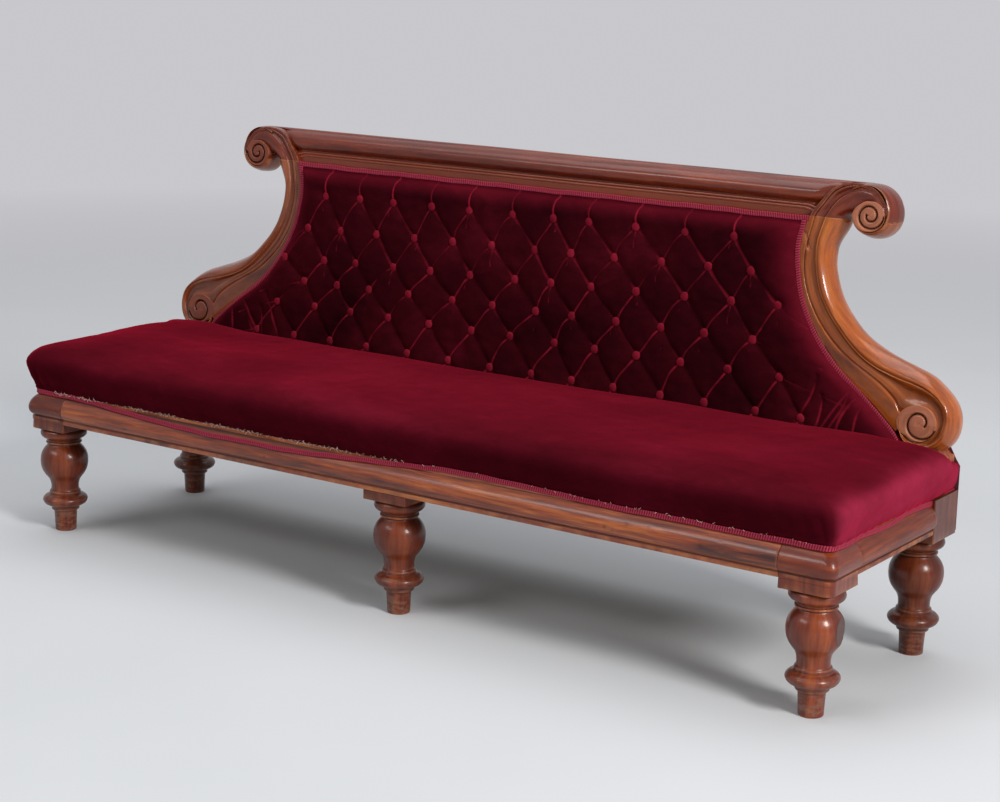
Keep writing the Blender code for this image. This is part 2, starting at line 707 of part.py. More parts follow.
def back_frame(back):
    top = BACK_RAIL_LIFT + BACK_RAIL_HEIGHT
    half = panel_half_width(top) - GAP
    front = PANEL_BACK + 2 * CLOTH_THICKNESS + 3 * GAP
    box("lower_back_rail", (-half, front, BACK_RAIL_LIFT), (half, BACK_THICKNESS, top), "beech", back)
    for label, side in (("left", -1), ("right", 1)):
        centre = side * UPRIGHT_PLACE
        box("back_upright_" + label, (centre - UPRIGHT_WIDTH / 2, front, top + GAP),
            (centre + UPRIGHT_WIDTH / 2, BACK_THICKNESS, JOINT_H), "beech", back)


def lattice_mesh(name, columns, rows, keep, thickness, place):
    """Woven straps as one flat grid: cells outside every strap are removed."""
    work = bmesh.new()
    bmesh.ops.create_grid(work, x_segments=len(columns) - 1, y_segments=len(rows) - 1, size=1.0)
    across = sorted({round(vertex.co.x, 6) for vertex in work.verts})
    upwards = sorted({round(vertex.co.y, 6) for vertex in work.verts})
    for vertex in work.verts:
        column = across.index(round(vertex.co.x, 6))
        row = upwards.index(round(vertex.co.y, 6))
        vertex.co = (columns[column], rows[row], 0.0)
    open_cells = []
    for face in work.faces:
        centre = face.calc_center_median()
        if not keep(centre.x, centre.y):
            open_cells.append(face)
    bmesh.ops.delete(work, geom=open_cells, context="FACES")
    solid = bmesh.ops.extrude_face_region(work, geom=work.faces[:])
    raised = [item for item in solid["geom"] if isinstance(item, bmesh.types.BMVert)]
    bmesh.ops.translate(work, vec=(0, 0, thickness), verts=raised)
    bmesh.ops.transform(work, matrix=place, verts=work.verts[:])
    return mesh_from(name, work)


def strap_lines(centres, low, high):
    half = WEB_WIDTH / 2
    lines = {low, high}
    for centre in centres:
        lines.update((centre - half, centre + half))
    return sorted(line for line in lines if low <= line <= high)


def on_strap(value, centres):
    return any(abs(value - centre) < WEB_WIDTH / 2 for centre in centres)


def seat_webbing():
    reach = HALF_LENGTH - WEB_EDGE
    inner = BLOCK_INNER_X - WEB_EDGE
    front = FRONT_FACE + WEB_EDGE / 2
    rear = REAR_FACE - WEB_EDGE / 2
    count = int(inner / SEAT_WEB_PITCH)
    middle = (FRONT_FACE + REAR_FACE) / 2
    straps = [SEAT_WEB_PITCH * index for index in range(-count, count + 1)]
    rows = [middle - SEAT_WEB_ROW, middle, middle + SEAT_WEB_ROW]
    notch = (MIDDLE_LEG_SHIFT - LEG_SQUARE / 2 - WEB_NOTCH_MARGIN,
             MIDDLE_LEG_SHIFT + LEG_SQUARE / 2 + WEB_NOTCH_MARGIN)
    notch_rear = FRONT_BLOCK_REAR + WEB_NOTCH_MARGIN

    def keep(x, y):
        if notch[0] < x < notch[1] and y < notch_rear:
            return False
        return on_strap(x, straps) or on_strap(y, rows)

    columns = sorted(set(strap_lines(straps, -reach, reach)) | {notch[0], notch[1]})
    lines = sorted(set(strap_lines(rows, front, rear)) | {notch_rear})
    top = RAIL_BOTTOM - GAP
    place = Matrix.Translation((0, 0, top - WEB_THICKNESS))
    mesh = lattice_mesh("seat_webbing", columns, lines, keep, WEB_THICKNESS, place)
    add_object("seat_webbing", mesh, "webbing")
    return rows


def seat_springs(rows):
    """Waisted coils standing on the webbing under the hessian."""
    low = RAIL_BOTTOM + SPRING_WIRE
    high = SEAT_RAIL_TOP - SPRING_WIRE
    count = SPRING_TURNS * SPRING_POINTS
    number = 0
    for row in (rows[0], rows[2]):
        for index in range(SPRINGS_IN_ROW):
            x = (index - (SPRINGS_IN_ROW - 1) / 2) * SPRING_PITCH
            number += 1
            name = "seat_spring_%02d" % number
            curve = bpy.data.curves.new(name, "CURVE")
            curve.dimensions = "3D"
            curve.bevel_depth = SPRING_WIRE
            curve.bevel_resolution = 1
            curve.use_fill_caps = True
            spline = curve.splines.new("POLY")
            spline.points.add(count)
            for step, point in enumerate(spline.points):
                turn = step / SPRING_POINTS
                rise = min(max((turn - 0.5) / (SPRING_TURNS - 1.0), 0.0), 1.0)
                waist = (SPRING_RADIUS - SPRING_WAIST) * math.sin(math.pi * rise)
                angle = 2 * math.pi * turn
                point.co = ((SPRING_RADIUS - waist) * math.cos(angle),
                            (SPRING_RADIUS - waist) * math.sin(angle), low + (high - low) * rise, 1.0)
            guide = bpy.data.objects.new(name + "_wire", curve)
            CUTTERS.objects.link(guide)
            seen = guide.evaluated_get(bpy.context.evaluated_depsgraph_get())
            mesh = bpy.data.meshes.new_from_object(seen)
            bpy.data.objects.remove(guide, do_unlink=True)
            work = bmesh.new()
            work.from_mesh(mesh)
            bmesh.ops.remove_doubles(work, verts=work.verts[:], dist=MERGE)
            work.to_mesh(mesh)
            work.free()
            piece = add_object(name, mesh, "spring_steel")
            piece.location = (x, row, 0.0)


def seat_hessian():
    """Flat cloth over the springs, tacked on the rails' top and under the back."""
    half = HALF_LENGTH - HESSIAN_EDGE
    front = FRONT_FACE + HESSIAN_EDGE
    rear = BACK_FACE - CUSHION_BACK_GAP
    tongue = FOOT_INNER - HESSIAN_EDGE
    tongue_rear = REAR_FACE - HESSIAN_EDGE
    outline = [(-half, front), (half, front), (half, rear), (tongue, rear), (tongue, tongue_rear),
               (-tongue, tongue_rear), (-tongue, rear), (-half, rear)]
    height = SEAT_RAIL_TOP + GAP + CLOTH_THICKNESS / 2
    mesh = plate_mesh("seat_hessian", [outline], CLOTH_THICKNESS, Matrix.Translation((0, 0, height)))
    add_object("seat_hessian", mesh, "hessian")


def seat_ring(outward, rear, height, rear_inset=0.0):
    """A rounded rectangle round the seat, moved outwards from the frame's faces."""
    radius = max(BLOCK_ROUND + outward, COVER_THICKNESS)
    half = HALF_LENGTH + outward
    front = FRONT_FACE - outward
    steps = 4
    plan = [(half, rear - rear_inset), (-half, rear - rear_inset)]
    for centre_x, start in ((-half + radius, math.pi), (half - radius, 1.5 * math.pi)):
        for step in range(steps + 1):
            angle = start + math.pi / 2 * step / steps
            plan.append((centre_x + radius * math.cos(angle),
                         front + radius + radius * math.sin(angle)))
    return [(x, y, height) for x, y in plan]


def seat_levels(bottom, shrink):
    """Outward offset and height of the seat's side, then its crown."""
    base = LEDGE_TOP + GAP
    levels = []
    for rise, out in COVER_SIDE_SHARES:
        height = base + rise * CUSHION_HEIGHT
        if rise > SHOULDER_SHARE:
            height -= shrink
        levels.append((-COVER_SIDE + out * CUSHION_BULGE - shrink, max(height, bottom), 0.0))
    for rise, inward in COVER_CROWN_SHARES:
        height = base + rise * CUSHION_HEIGHT - shrink
        distance = inward * FRAME_DEPTH / 2
        levels.append((-COVER_SIDE - distance - shrink, height, distance))
    return levels


def seat_upholstery():
    pad_rear = BACK_FACE - CUSHION_BACK_GAP
    bottom = SEAT_RAIL_TOP + CLOTH_THICKNESS + 2 * GAP
    levels = seat_levels(bottom, COVER_THICKNESS + GAP)
    rings = [seat_ring(out, pad_rear - COVER_THICKNESS - GAP, height, back)
             for out, height, back in levels]
    add_object("seat_stuffing", loft_mesh("seat_stuffing", rings), "hair")
    outer = [seat_ring(out, REAR_FACE - COVER_THICKNESS, height, back)
             for out, height, back in seat_levels(0.0, 0.0)]
    cover = add_object("seat_cover", loft_mesh("seat_cover", outer), "velvet")
    inner_levels = seat_levels(0.0, COVER_THICKNESS)
    first = inner_levels[0]
    inner_levels = [(first[0], first[1] - OVERRUN, 0.0)] + inner_levels[1:]
    hollow = [seat_ring(out, pad_rear - COVER_THICKNESS, height, back)
              for out, height, back in inner_levels]
    combine(cover, make_cutter(add_object("seat_hollow", loft_mesh("seat_hollow", hollow), None)),
            "DIFFERENCE")
    high = OVERALL_HEIGHT
    cut_box(cover, "back_notch", (-POST_OUTER - GAP, pad_rear, 0.0),
            (POST_OUTER + GAP, high, high))
    cut_box(cover, "wing_top", (-FRAME_LENGTH, pad_rear, POST_TOP - WING_TOP_GAP),
            (FRAME_LENGTH, high, high))
    inner = HALF_LENGTH - LEDGE_WIDTH + GAP
    cut_box(cover, "rear_clearance", (-inner, pad_rear - COVER_THICKNESS - OVERRUN, 0.0),
            (inner, high, bottom))


def seat_gimps():
    near = COVER_SIDE - GAP
    far = near - GIMP_THICKNESS
    low = LEDGE_TOP + GAP
    high = low + GIMP_WIDTH
    half = HALF_LENGTH - near - GAP
    box("seat_gimp_front", (-half, FRONT_FACE + far, low), (half, FRONT_FACE + near, high), "gimp")
    for label, side in (("left", -1), ("right", 1)):
        across = sorted((side * (HALF_LENGTH - near), side * (HALF_LENGTH - far)))
        box("seat_gimp_" + label, (across[0], FRONT_FACE + far, low),
            (across[1], REAR_FACE - COVER_THICKNESS, high), "gimp")


def panel_outline(distance=0.0, foot=0.0):
    """The panel between the arms, moved inwards; its foot only rises by its own amount."""
    right = inner_edge(1) + [(FOOT_INNER, -JOINT_H)]
    left = [(-x, h) for x, h in right]
    moved = inset(right[::-1] + left, PANEL_FIT + distance)
    return [(x, max(h, PANEL_FOOT + foot)) for x, h in moved]


def panel_half_width(height):
    """Half the panel's width at a height, read off the arm's inner edge."""
    edge = inner_edge(1)
    for (upper_x, upper), (lower_x, lower) in zip(edge, edge[1:]):
        if lower <= height <= upper:
            share = (height - lower) / max(upper - lower, GAP)
            return lower_x + (upper_x - lower_x) * share
    return FOOT_INNER


def panel_rings(margin, levels):
    rings = []
    for distance, depth in levels:
        moved = panel_outline(distance + margin, margin)
        rings.append([(x, depth, h) for x, h in moved])
    return rings


def back_upholstery(back):
    outline = panel_outline()
    cloth_front = PANEL_BACK + GAP
    cloth_rear = cloth_front + CLOTH_THICKNESS
    back_plate("back_hessian", [outline], cloth_front, cloth_rear, "hessian", back)
    web_front = cloth_rear + GAP
    low = PANEL_FOOT + PANEL_FIT
    high = JOINT_H - PANEL_FIT
    widest = FOOT_INNER
    rows = [low + WEB_WIDTH / 2 + BACK_WEB_ROW * index for index in range(4)]
    count = int(widest / BACK_WEB_PITCH)
    columns = [BACK_WEB_PITCH * index for index in range(-count, count + 1)]
    heights = sorted(set(strap_lines(rows, low, high)))
    narrow = min(panel_half_width(low + (high - low) * step / 40) for step in range(41)) - 2 * PANEL_FIT

    def keep(x, h):
        return abs(x) < narrow and (on_strap(x, columns) or on_strap(h, rows))

    lines = sorted(set(strap_lines(columns, -narrow, narrow)))
    place = Matrix(((1, 0, 0, 0), (0, 0, 1, web_front), (0, 1, 0, 0), (0, 0, 0, 1)))
    thickness = CLOTH_THICKNESS
    mesh = lattice_mesh("back_webbing", lines, heights, keep, thickness, place)
    add_object("back_webbing", mesh, "webbing", back)
    wall = COVER_THICKNESS
    slope = PANEL_MARGIN + PANEL_SLOPE
    pad = [(0.0, PANEL_BACK), (0.0, wall), (PANEL_MARGIN, wall), (slope, wall - PANEL_CROWN)]
    mesh = loft_mesh("back_stuffing", panel_rings(wall + GAP, pad))
    add_object("back_stuffing", mesh, "hair", back)
    inner = panel_rings(wall, [(slope, wall - GAP - PANEL_CROWN), (PANEL_MARGIN, wall - GAP),
                               (0.0, wall - GAP), (0.0, PANEL_BACK)])
    outer = panel_rings(0.0, [(0.0, PANEL_BACK), (0.0, -GAP), (PANEL_MARGIN, -GAP),
                              (slope, -GAP - PANEL_CROWN)])
    add_object("back_cover", loft_mesh("back_cover", inner + outer), "velvet", back)


def back_gimps(back):
    """Braid over the cover's flat margin along the arms and under the crest."""
    rear = -2 * GAP
    front = rear - GIMP_THICKNESS
    near = GAP
    far = near + GIMP_WIDTH - 2 * GAP
    top = JOINT_H - PANEL_FIT - far - GAP
    for label, side in (("left", -1), ("right", 1)):
        close = [(x, min(h, top)) for x, h in panel_outline(near) if x * side > 0]
        away = [(x, min(h, top)) for x, h in panel_outline(far) if x * side > 0]
        back_plate("back_gimp_" + label, [close + away[::-1]], front, rear, "gimp", back)
    half = panel_half_width(JOINT_H) - PANEL_FIT - near - GAP
    box("back_gimp_top", (-half, front, top + GAP), (half, rear, JOINT_H - PANEL_FIT - near),
        "gimp", back)


def outside_back_cloth(back):
    """One sheet down the rear of the arms, posts and rear rail."""
    clear = BACK_THICKNESS + GAP
    rows = []
    bend = REAR_FACE + GAP
    path = outer_edge(1)
    heights = [JOINT_H - OUTSIDE_CLOTH_INSET]
    heights += [h for x, h in path[::-2] if h < JOINT_H - 2 * OUTSIDE_CLOTH_INSET]
    for height in heights:
        near = min(path, key=lambda point: abs(point[1] - height))
        width = near[0] - OUTSIDE_CLOTH_INSET
        place = back_place(back, 0.0, clear, height)
        rows.append((width, place.y, place.z))
    full = HALF_LENGTH - OUTSIDE_CLOTH_INSET
    start = back_place(back, 0.0, clear, 0.0)
    bend_height = start.z + (bend - start.y) * BACK_COSINE / BACK_SINE
    rows.append((full, bend, bend_height))
    rows.append((full, bend, BLOCK_BOTTOM + OUTSIDE_CLOTH_LIFT))
    work = bmesh.new()
    width, y, z = rows[0]
    edge = work.edges.new([work.verts.new((-width, y, z)), work.verts.new((width, y, z))])
    for width, y, z in rows[1:]:
        grown = bmesh.ops.extrude_edge_only(work, edges=[edge])["geom"]
        edge = [item for item in grown if isinstance(item, bmesh.types.BMEdge)][0]
        for vertex in edge.verts:
            vertex.co = (math.copysign(width, vertex.co.x), y, z)
    mesh = bpy.data.meshes.new("outside_back_cloth")
    bmesh.ops.recalc_face_normals(work, faces=work.faces[:])
    if sum(face.normal.y for face in work.faces) < 0:
        bmesh.ops.reverse_faces(work, faces=work.faces[:])
    work.to_mesh(mesh)
    work.free()
    cloth = add_object("outside_back_cloth", mesh, "velvet")
    wall = cloth.modifiers.new("wall", "SOLIDIFY")
    wall.thickness = CLOTH_THICKNESS
    wall.offset = 1.0
    wall.use_even_offset = True


def build():
    back = bpy.data.objects.new("back_frame", None)
    SEAT.objects.link(back)
    back.location = (0.0, BACK_FACE, BACK_BASE)
    back.rotation_euler = (-RAKE, 0.0, 0.0)
    front_rail = front_and_rear_rails()
    legs = {}
    arms = {}
    for label, side in (("left", -1), ("right", 1)):
        side_rail(side, "side_rail_" + label)
        front_corner_leg(side, "front_leg_" + label)
        legs[label] = rear_corner_leg(side, "rear_leg_" + label)
        arms[label] = scroll_arm(side, "scroll_arm_" + label, back)
    middle_leg(front_rail)
    inner_timbers()
    crest = crest_rail(back)
    dowels(crest, arms, back)
    arm_screws(legs, arms, back)
    back_frame(back)
    seat_springs(seat_webbing())
    seat_hessian()
    seat_upholstery()
    seat_gimps()
    back_upholstery(back)
    back_gimps(back)
    outside_back_cloth(back)


build()
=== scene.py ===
"""The looks of the billiard seat: a carved mahogany show frame with five turned legs, a velvet seat and a
deep-buttoned velvet back, finished in woven gimp. Every length is in metres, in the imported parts' frame."""

import math

import bmesh
import bpy
import numpy as np
from mathutils import Matrix, Vector, noise


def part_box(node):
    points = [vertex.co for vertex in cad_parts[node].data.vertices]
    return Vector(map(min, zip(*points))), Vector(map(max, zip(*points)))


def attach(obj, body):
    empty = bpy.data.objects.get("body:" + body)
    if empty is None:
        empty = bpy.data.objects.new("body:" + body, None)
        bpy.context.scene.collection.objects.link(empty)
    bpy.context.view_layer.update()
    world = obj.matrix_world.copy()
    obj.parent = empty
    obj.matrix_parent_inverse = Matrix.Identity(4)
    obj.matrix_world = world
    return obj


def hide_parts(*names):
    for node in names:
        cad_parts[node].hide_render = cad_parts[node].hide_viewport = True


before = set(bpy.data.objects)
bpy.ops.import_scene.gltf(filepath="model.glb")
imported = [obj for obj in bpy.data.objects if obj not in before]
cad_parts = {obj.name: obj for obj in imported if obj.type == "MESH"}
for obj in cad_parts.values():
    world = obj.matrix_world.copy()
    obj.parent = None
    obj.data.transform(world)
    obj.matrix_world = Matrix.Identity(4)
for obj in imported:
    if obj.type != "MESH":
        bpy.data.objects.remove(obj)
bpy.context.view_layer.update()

# Where the show frame lies, as the parts have it.
FRONT_FACE = -0.3351
REAR_FACE = 0.2939
HALF_LENGTH = 1.1775
RAIL_END = 1.0525
FRONT_BLOCK_REAR = -0.2101
REAR_BLOCK_FRONT = 0.1689
BACK_FACE = 0.2219
BACK_BASE = 0.3922
RAKE = math.radians(6.1)
TOP_VOLUTE = (0.9207, 0.987)
LOW_VOLUTE = (1.097, 0.536)
# Levels of the rails and leg blocks. The rails are rebated for the cloth from REBATE up.
RAIL_TOP = 0.385
REBATE = 0.3766
RAIL_FOOT = 0.306
BLOCK_FOOT = 0.283
# Where the middles of the legs stand.
LEG_X = 1.115
MIDDLE_LEG_X = 0.015
FRONT_LEG_Y = -0.2726
REAR_LEG_Y = 0.2314
# The level of the glued joint between crest and scroll blocks, and the gap that shows at a joint.
CREST_JOINT = 0.973
JOINT_GAP = 0.0003
GIMP_WIDTH = 0.0124
WEB_WIDTH = 0.05
WEB_LEVEL = 0.3049


# Camera.

def place_camera():
    """The photograph's view: a little above the seat and well round to its right-hand end."""
    turn, lift, roll = math.radians(34.7472), math.radians(12.7019), math.radians(-1.2707)
    stand = Matrix.Translation((3.00779, -4.179682, 1.63139))
    away = Vector((math.sin(turn) * math.cos(lift), -math.cos(turn) * math.cos(lift), math.sin(lift)))
    right = Vector((math.cos(turn), math.sin(turn), 0))
    up = away.cross(right)
    level = right * math.cos(roll) - up * math.sin(roll)
    upright = right * math.sin(roll) + up * math.cos(roll)
    data = bpy.data.cameras.new("camera")
    data.lens, data.sensor_width = 77.275, 36
    data.clip_end = 60
    camera = shown("camera", data)
    camera.matrix_world = stand @ Matrix((level, upright, away)).transposed().to_4x4()
    bpy.context.scene.camera = camera


# Shader maths.

class Wire:
    """One socket of a finish, which adds, subtracts and multiplies as a number does."""

    def __init__(self, finish, socket):
        self.finish, self.socket = finish, socket

    def __add__(self, other):
        return self.finish.maths("ADD", self, other)

    def __sub__(self, other):
        return self.finish.maths("SUBTRACT", self, other)

    def __rsub__(self, other):
        return self.finish.maths("SUBTRACT", other, self)

    def __mul__(self, other):
        return self.finish.maths("MULTIPLY", self, other)

    __radd__, __rmul__ = __add__, __mul__


def paint(code):
    """A colour written as six hex digits, as the shader's own linear values."""
    parts = [int(code[i:i + 2], 16) / 255 for i in (0, 2, 4)]
    return [p / 12.92 if p < 0.04045 else ((p + 0.055) / 1.055) ** 2.4 for p in parts] + [1.0]


class Finish:
    """A material, or the room around the bench, that is built up node by node."""

    def __init__(self, owner):
        self.owner = bpy.data.materials.new(owner) if isinstance(owner, str) else owner
        self.owner.use_nodes = True
        self.tree = self.owner.node_tree
        self.tree.nodes.clear()

    def add(self, kind, settings=None, *values, out=0, **named):
        """One node: its settings go in first, then the values or wires of its sockets."""
        node = self.tree.nodes.new("ShaderNode" + kind)
        for key, value in (settings or {}).items():
            if key == "stops":
                band = node.color_ramp
                while len(band.elements) < len(value):
                    band.elements.new(1.0)
                for stop, (place, colour) in zip(band.elements, value):
                    stop.position, stop.color = place, colour
            else:
                setattr(node, key, value)
        for key, value in list(enumerate(values)) + [(k.replace("_", " "), v) for k, v in named.items()]:
            if isinstance(value, Wire):
                self.tree.links.new(value.socket, node.inputs[key])
            elif value is not None:
                node.inputs[key].default_value = value
        return Wire(self, node.outputs[out]) if node.outputs else None

    def place(self):
        """The point's own place on the bench."""
        return self.add("TexCoord", out=3)

    def run(self):
        """How far along its piece the point lies, and how far across it."""
        return self.add("UVMap", {"uv_map": "run"})

    def stretched(self, where, scale):
        return self.add("Mapping", {}, where, Scale=scale)

    def cloud(self, where, scale=1.0, detail=3.0, rough=0.5, bend=0.0):
        return self.add("TexNoise", {}, Vector=where, Scale=scale, Detail=detail, Roughness=rough,
                        Distortion=bend)

    def span(self, value, low, high, first=0.0, last=1.0):
        return self.add("MapRange", {}, value, low, high, first, last)

    def mixed(self, share, first, second):
        """Two colours mixed. A Mix node's colours are its seventh and eighth sockets."""
        return self.add("Mix", {"data_type": "RGBA"}, share, *[None] * 5, first, second, out=2)

    def ramp(self, value, *stops):
        """Colours written as hex digits, at their places along a value."""
        return self.add("ValToRGB", {"stops": [(place, paint(code)) for place, code in stops]}, value)

    def maths(self, how, *values):
        """A Math node: how is its operation."""
        return self.add("Math", {"operation": how}, *values)

    def part(self, vector, axis):
        """One number of a vector: 0 along x, 1 along y, 2 along z."""
        return self.add("SeparateXYZ", {}, vector, out=axis)

    def mark(self, name):
        return self.add("Attribute", {"attribute_name": name}, out=2)

    def bump(self, height, strength, distance):
        return self.add("Bump", {}, Strength=strength, Distance=distance, Height=height)

    def looked_at(self):
        """1 for what the camera sees, by itself or in a gloss or a glass, and 0 for the lamps' own light."""
        camera, glossy, through = (self.add("LightPath", out=number) for number in (0, 3, 6))
        return self.maths("MAXIMUM", self.maths("MAXIMUM", camera, glossy), through)

    def close(self, **sockets):
        """Ends the finish in a principled surface and gives back the material."""
        self.add("OutputMaterial", {}, self.add("BsdfPrincipled", {}, **sockets))
        return self.owner


# Finishes.

def mahogany(group, dark, middle, light, gloss=0.26, coat=0.30, wear_and_highlight=1.0, grime=0.7, lively=1.0, bare=None,
             scuffed=0.0, haze=0.10, shine=0.28, fascia_light=0.65):
    """Polished mahogany of a group of pieces, with its grain along each piece's own run. Above the height
    bare, the wood has no polish, as in a rebate that the cloth covers. haze blurs the polish. Its convex
    arrises are painted lighter, partly for wear and partly as a painted highlight."""
    f = Finish("mahogany_of_the_" + group)
    where = f.stretched(f.run(), (1, 9, 1))
    here = f.place()
    figure = f.cloud(where, 1.5, 4, 0.6, 0.9)
    streaks = f.cloud(where, 8.0, 6, 0.64, 0.35)
    pores = f.cloud(f.stretched(where, (1, 3, 3)), 60.0, 2, 0.6)
    tone = (figure * 0.80 + streaks * 0.55 - 0.675) * lively + 0.495
    wood = f.ramp(tone, (0.32, dark), (0.50, middle), (0.68, light))
    bands = f.cloud(f.stretched(where, (1, 0.5, 1)), 2.6, 2, 0.5, 1.4)
    wood = f.mixed(f.span(bands, 0.58, 0.70) * 0.5, wood, paint(dark))
    lines = f.span(pores, 0.58, 0.70)
    wood = f.mixed(lines * 0.45, wood, paint("2f130b"))
    edge = f.mark("edge")
    patches = f.cloud(here, 26.0, 4, 0.6)
    # Convex arrises are painted lighter: partly worn polish, partly a painted highlight along them.
    worn_and_lit = f.span(edge, 0.25, 0.90) * f.span(patches, 0.42, 0.66) * (0.32 * wear_and_highlight)
    wood = f.mixed(worn_and_lit, wood, paint("c07c4a"))
    # Painted light: where a piece marks it, as on the crest's fascia and beads, the wood is painted lighter.
    wood = f.mixed(f.mark("warm") * fascia_light, wood, f.mixed(figure, paint(middle), paint(light)))
    dirt = f.span(edge, -0.25, -0.95) * grime
    wood = f.mixed(dirt, wood, paint("240e08"))
    # The dark mark holds dirt in the knocks, the darker flat of a leg, and painted shade under the loose
    # gimp, in the arms' flat and hollow and in the volutes' grooves.
    dark_place = f.mark("dark")
    wood = f.mixed(dark_place * 0.85, wood, paint("1e0b06"))
    if scuffed:
        low = f.span(f.part(here, 2), 0.135, 0.020)
        marks = f.cloud(f.stretched(here, (1, 1, 3)), 38.0, 5, 0.7)
        wood = f.mixed(low * f.span(marks, 0.44, 0.62) * scuffed, wood, paint("8a6a58"))
    bloom = f.cloud(here, 5.0, 3, 0.5)
    wood = f.mixed(f.span(bloom, 0.48, 0.75) * 0.22, wood, paint("552414"))
    rough = f.span(bloom, 0.3, 0.7, gloss - 0.05, gloss + 0.12) + lines * 0.10 + worn_and_lit * 0.25 + dirt * 0.2
    raw = f.mark("raw")
    if bare:
        raw = raw + f.span(f.part(here, 2), bare, bare + 0.0006)
    wood = f.mixed(raw, wood, f.mixed(f.span(streaks, 0.4, 0.6), paint("8e4624"), paint("c07048")))
    rough = rough + raw * 0.4
    relief = f.bump(streaks * 0.4 - lines * 0.7 + patches * 0.2, 0.22, 0.0006)
    return f.close(Base_Color=wood, Roughness=rough, Normal=relief, Specular_IOR_Level=shine,
                   Coat_Weight=(1 - dark_place * 0.85) * coat, Coat_Roughness=haze)


def plain_timber(name, lead, dark, light, stain):
    """Unpolished inside timber with saw marks, knots of colour and dust."""
    f = Finish(name)
    here = f.place()
    where = f.stretched(here, {"X": (1, 12, 12), "Y": (12, 1, 12), "Z": (12, 12, 1)}[lead])
    grain = f.cloud(where, 7.0, 6, 0.6, 0.4)
    flecks = f.cloud(f.stretched(where, (3, 3, 3)), 24.0, 2, 0.5)
    wood = f.ramp(grain, (0.32, dark), (0.66, light))
    wood = f.mixed(f.span(flecks, 0.60, 0.72) * 0.5, wood, paint(dark))
    dust = f.cloud(here, 9.0, 4, 0.6)
    wood = f.mixed(f.span(dust, 0.50, 0.75) * 0.5, wood, paint(stain))
    saw = f.cloud(f.stretched(here, (60, 60, 60)), 3.0, 2, 0.5)
    relief = f.bump(grain * 0.6 + saw * 0.3, 0.35, 0.0010)
    return f.close(Base_Color=wood, Roughness=f.span(dust, 0.3, 0.7, 0.62, 0.85), Normal=relief)


def velvet(name, deep, middle, bright, sheen, lit_crease="701428", lit="7c1c32"):
    """Crimson pile velvet: dark looked into and lit along its nap by its sheen, brushed in patches, with
    painted sheen on its ridges, painted highlights on its folds, and painted light and shade where its mark
    says.
    """
    f = Finish(name)
    here = f.place()
    brushed = f.cloud(f.stretched(here, (1.0, 1.6, 1.6)), 2.4, 4, 0.55, 0.5)
    crushed = f.cloud(f.stretched(here, (1.0, 2.0, 2.0)), 17.0, 4, 0.6, 0.8)
    pile = f.cloud(here, 1100.0, 2, 0.6)
    lay_and_light = brushed * 0.75 + crushed * 0.25
    cloth = f.ramp(lay_and_light, (0.32, deep), (0.52, middle), (0.72, bright))
    cloth = f.mixed(f.span(pile, 0.35, 0.65) * 0.45, cloth, paint(deep))
    edge = f.mark("edge")
    # Painted sheen: convex ridges are painted in the bright colour.
    ridge_sheen = f.span(edge, 0.15, 0.7) * 0.35
    cloth = f.mixed(ridge_sheen, cloth, paint(bright))
    # Painted highlight: the fold mark paints the folds in the lit crease colour.
    fold = f.mark("fold")
    cloth = f.mixed(f.span(fold, 0.25, 0.95) * f.span(crushed, 0.25, 0.55, 0.45, 0.95), cloth, paint(lit_crease))
    # Painted light and shade: the cloth is painted lighter where the mark is above 0 and near black where it
    # is below.
    nap = f.mark("nap")
    cloth = f.mixed(f.span(nap, 0.0, 1.0) * f.span(lay_and_light, 0.34, 0.60, 0.50, 0.95), cloth, paint(lit))
    cloth = f.mixed(f.span(nap, 0.0, -1.0) * 0.7, cloth, paint("160104"))
    relief = f.bump(pile * 0.5 + crushed * 0.5, 0.35, 0.0008)
    return f.close(Base_Color=cloth, Roughness=f.span(lay_and_light, 0.3, 0.7, 0.80, 0.95), Normal=relief,
                   Specular_IOR_Level=0.0, Sheen_Weight=sheen, Sheen_Roughness=0.34,
                   Sheen_Tint=paint("b41a34"))


def woven_gimp(name):
    """Narrow scroll gimp: a pink cord looped along each side of a crimson ground, faded in places."""
    f = Finish(name)
    along, across = f.part(f.run(), 0), f.part(f.run(), 1)
    rung = f.maths("SINE", along * (math.tau / 0.0060) + across * (math.tau / 0.030))
    middle = f.maths("SINE", across * (math.pi / GIMP_WIDTH))
    thread = f.cloud(f.place(), 900.0, 2, 0.6)
    here = f.cloud(f.place(), 9.0, 4, 0.6)
    height = f.span(rung + middle * middle * 0.35, -0.85, 1.05)
    braid = f.mixed(height, paint("5a0c1a"), paint("b23a52"))
    braid = f.mixed(f.span(here, 0.42, 0.70) * 0.4, braid, paint("861e34"))
    braid = f.mixed(f.span(thread, 0.4, 0.7) * 0.30, braid, paint("8a2238"))
    relief = f.bump(height * 0.8 + thread * 0.2, 0.8, 0.0012)
    return f.close(Base_Color=braid, Roughness=f.span(thread, 0.3, 0.7, 0.6, 0.85), Normal=relief,
                   Specular_IOR_Level=0.15)


def plain_weave(name, pitch, dark, light, stain, loose=0.5):
    """An open plain weave, one thread over and one under, with slubs and stains."""
    f = Finish(name)
    here = f.place()
    east, north, high = (f.part(here, axis) for axis in range(3))
    slub = f.cloud(here, 60.0, 3, 0.6)
    warp = f.maths("SINE", (east + slub * 0.001) * (math.tau / pitch))
    weft = f.maths("SINE", (north + high + slub * 0.001) * (math.tau / pitch))
    weave = f.span(warp * weft, -1.0, 1.0)
    cloth = f.mixed(weave, paint(dark), paint(light))
    soiled = f.cloud(here, 4.0, 5, 0.65)
    cloth = f.mixed(f.span(soiled, 0.48, 0.75) * 0.6, cloth, paint(stain))
    cloth = f.mixed(f.span(slub, 0.55, 0.75) * 0.4, cloth, paint(light))
    relief = f.bump(weave + slub * 0.4, loose, 0.0008)
    return f.close(Base_Color=cloth, Roughness=f.span(slub, 0.3, 0.7, 0.82, 0.95), Normal=relief,
                   Sheen_Weight=0.15, Sheen_Roughness=0.5)


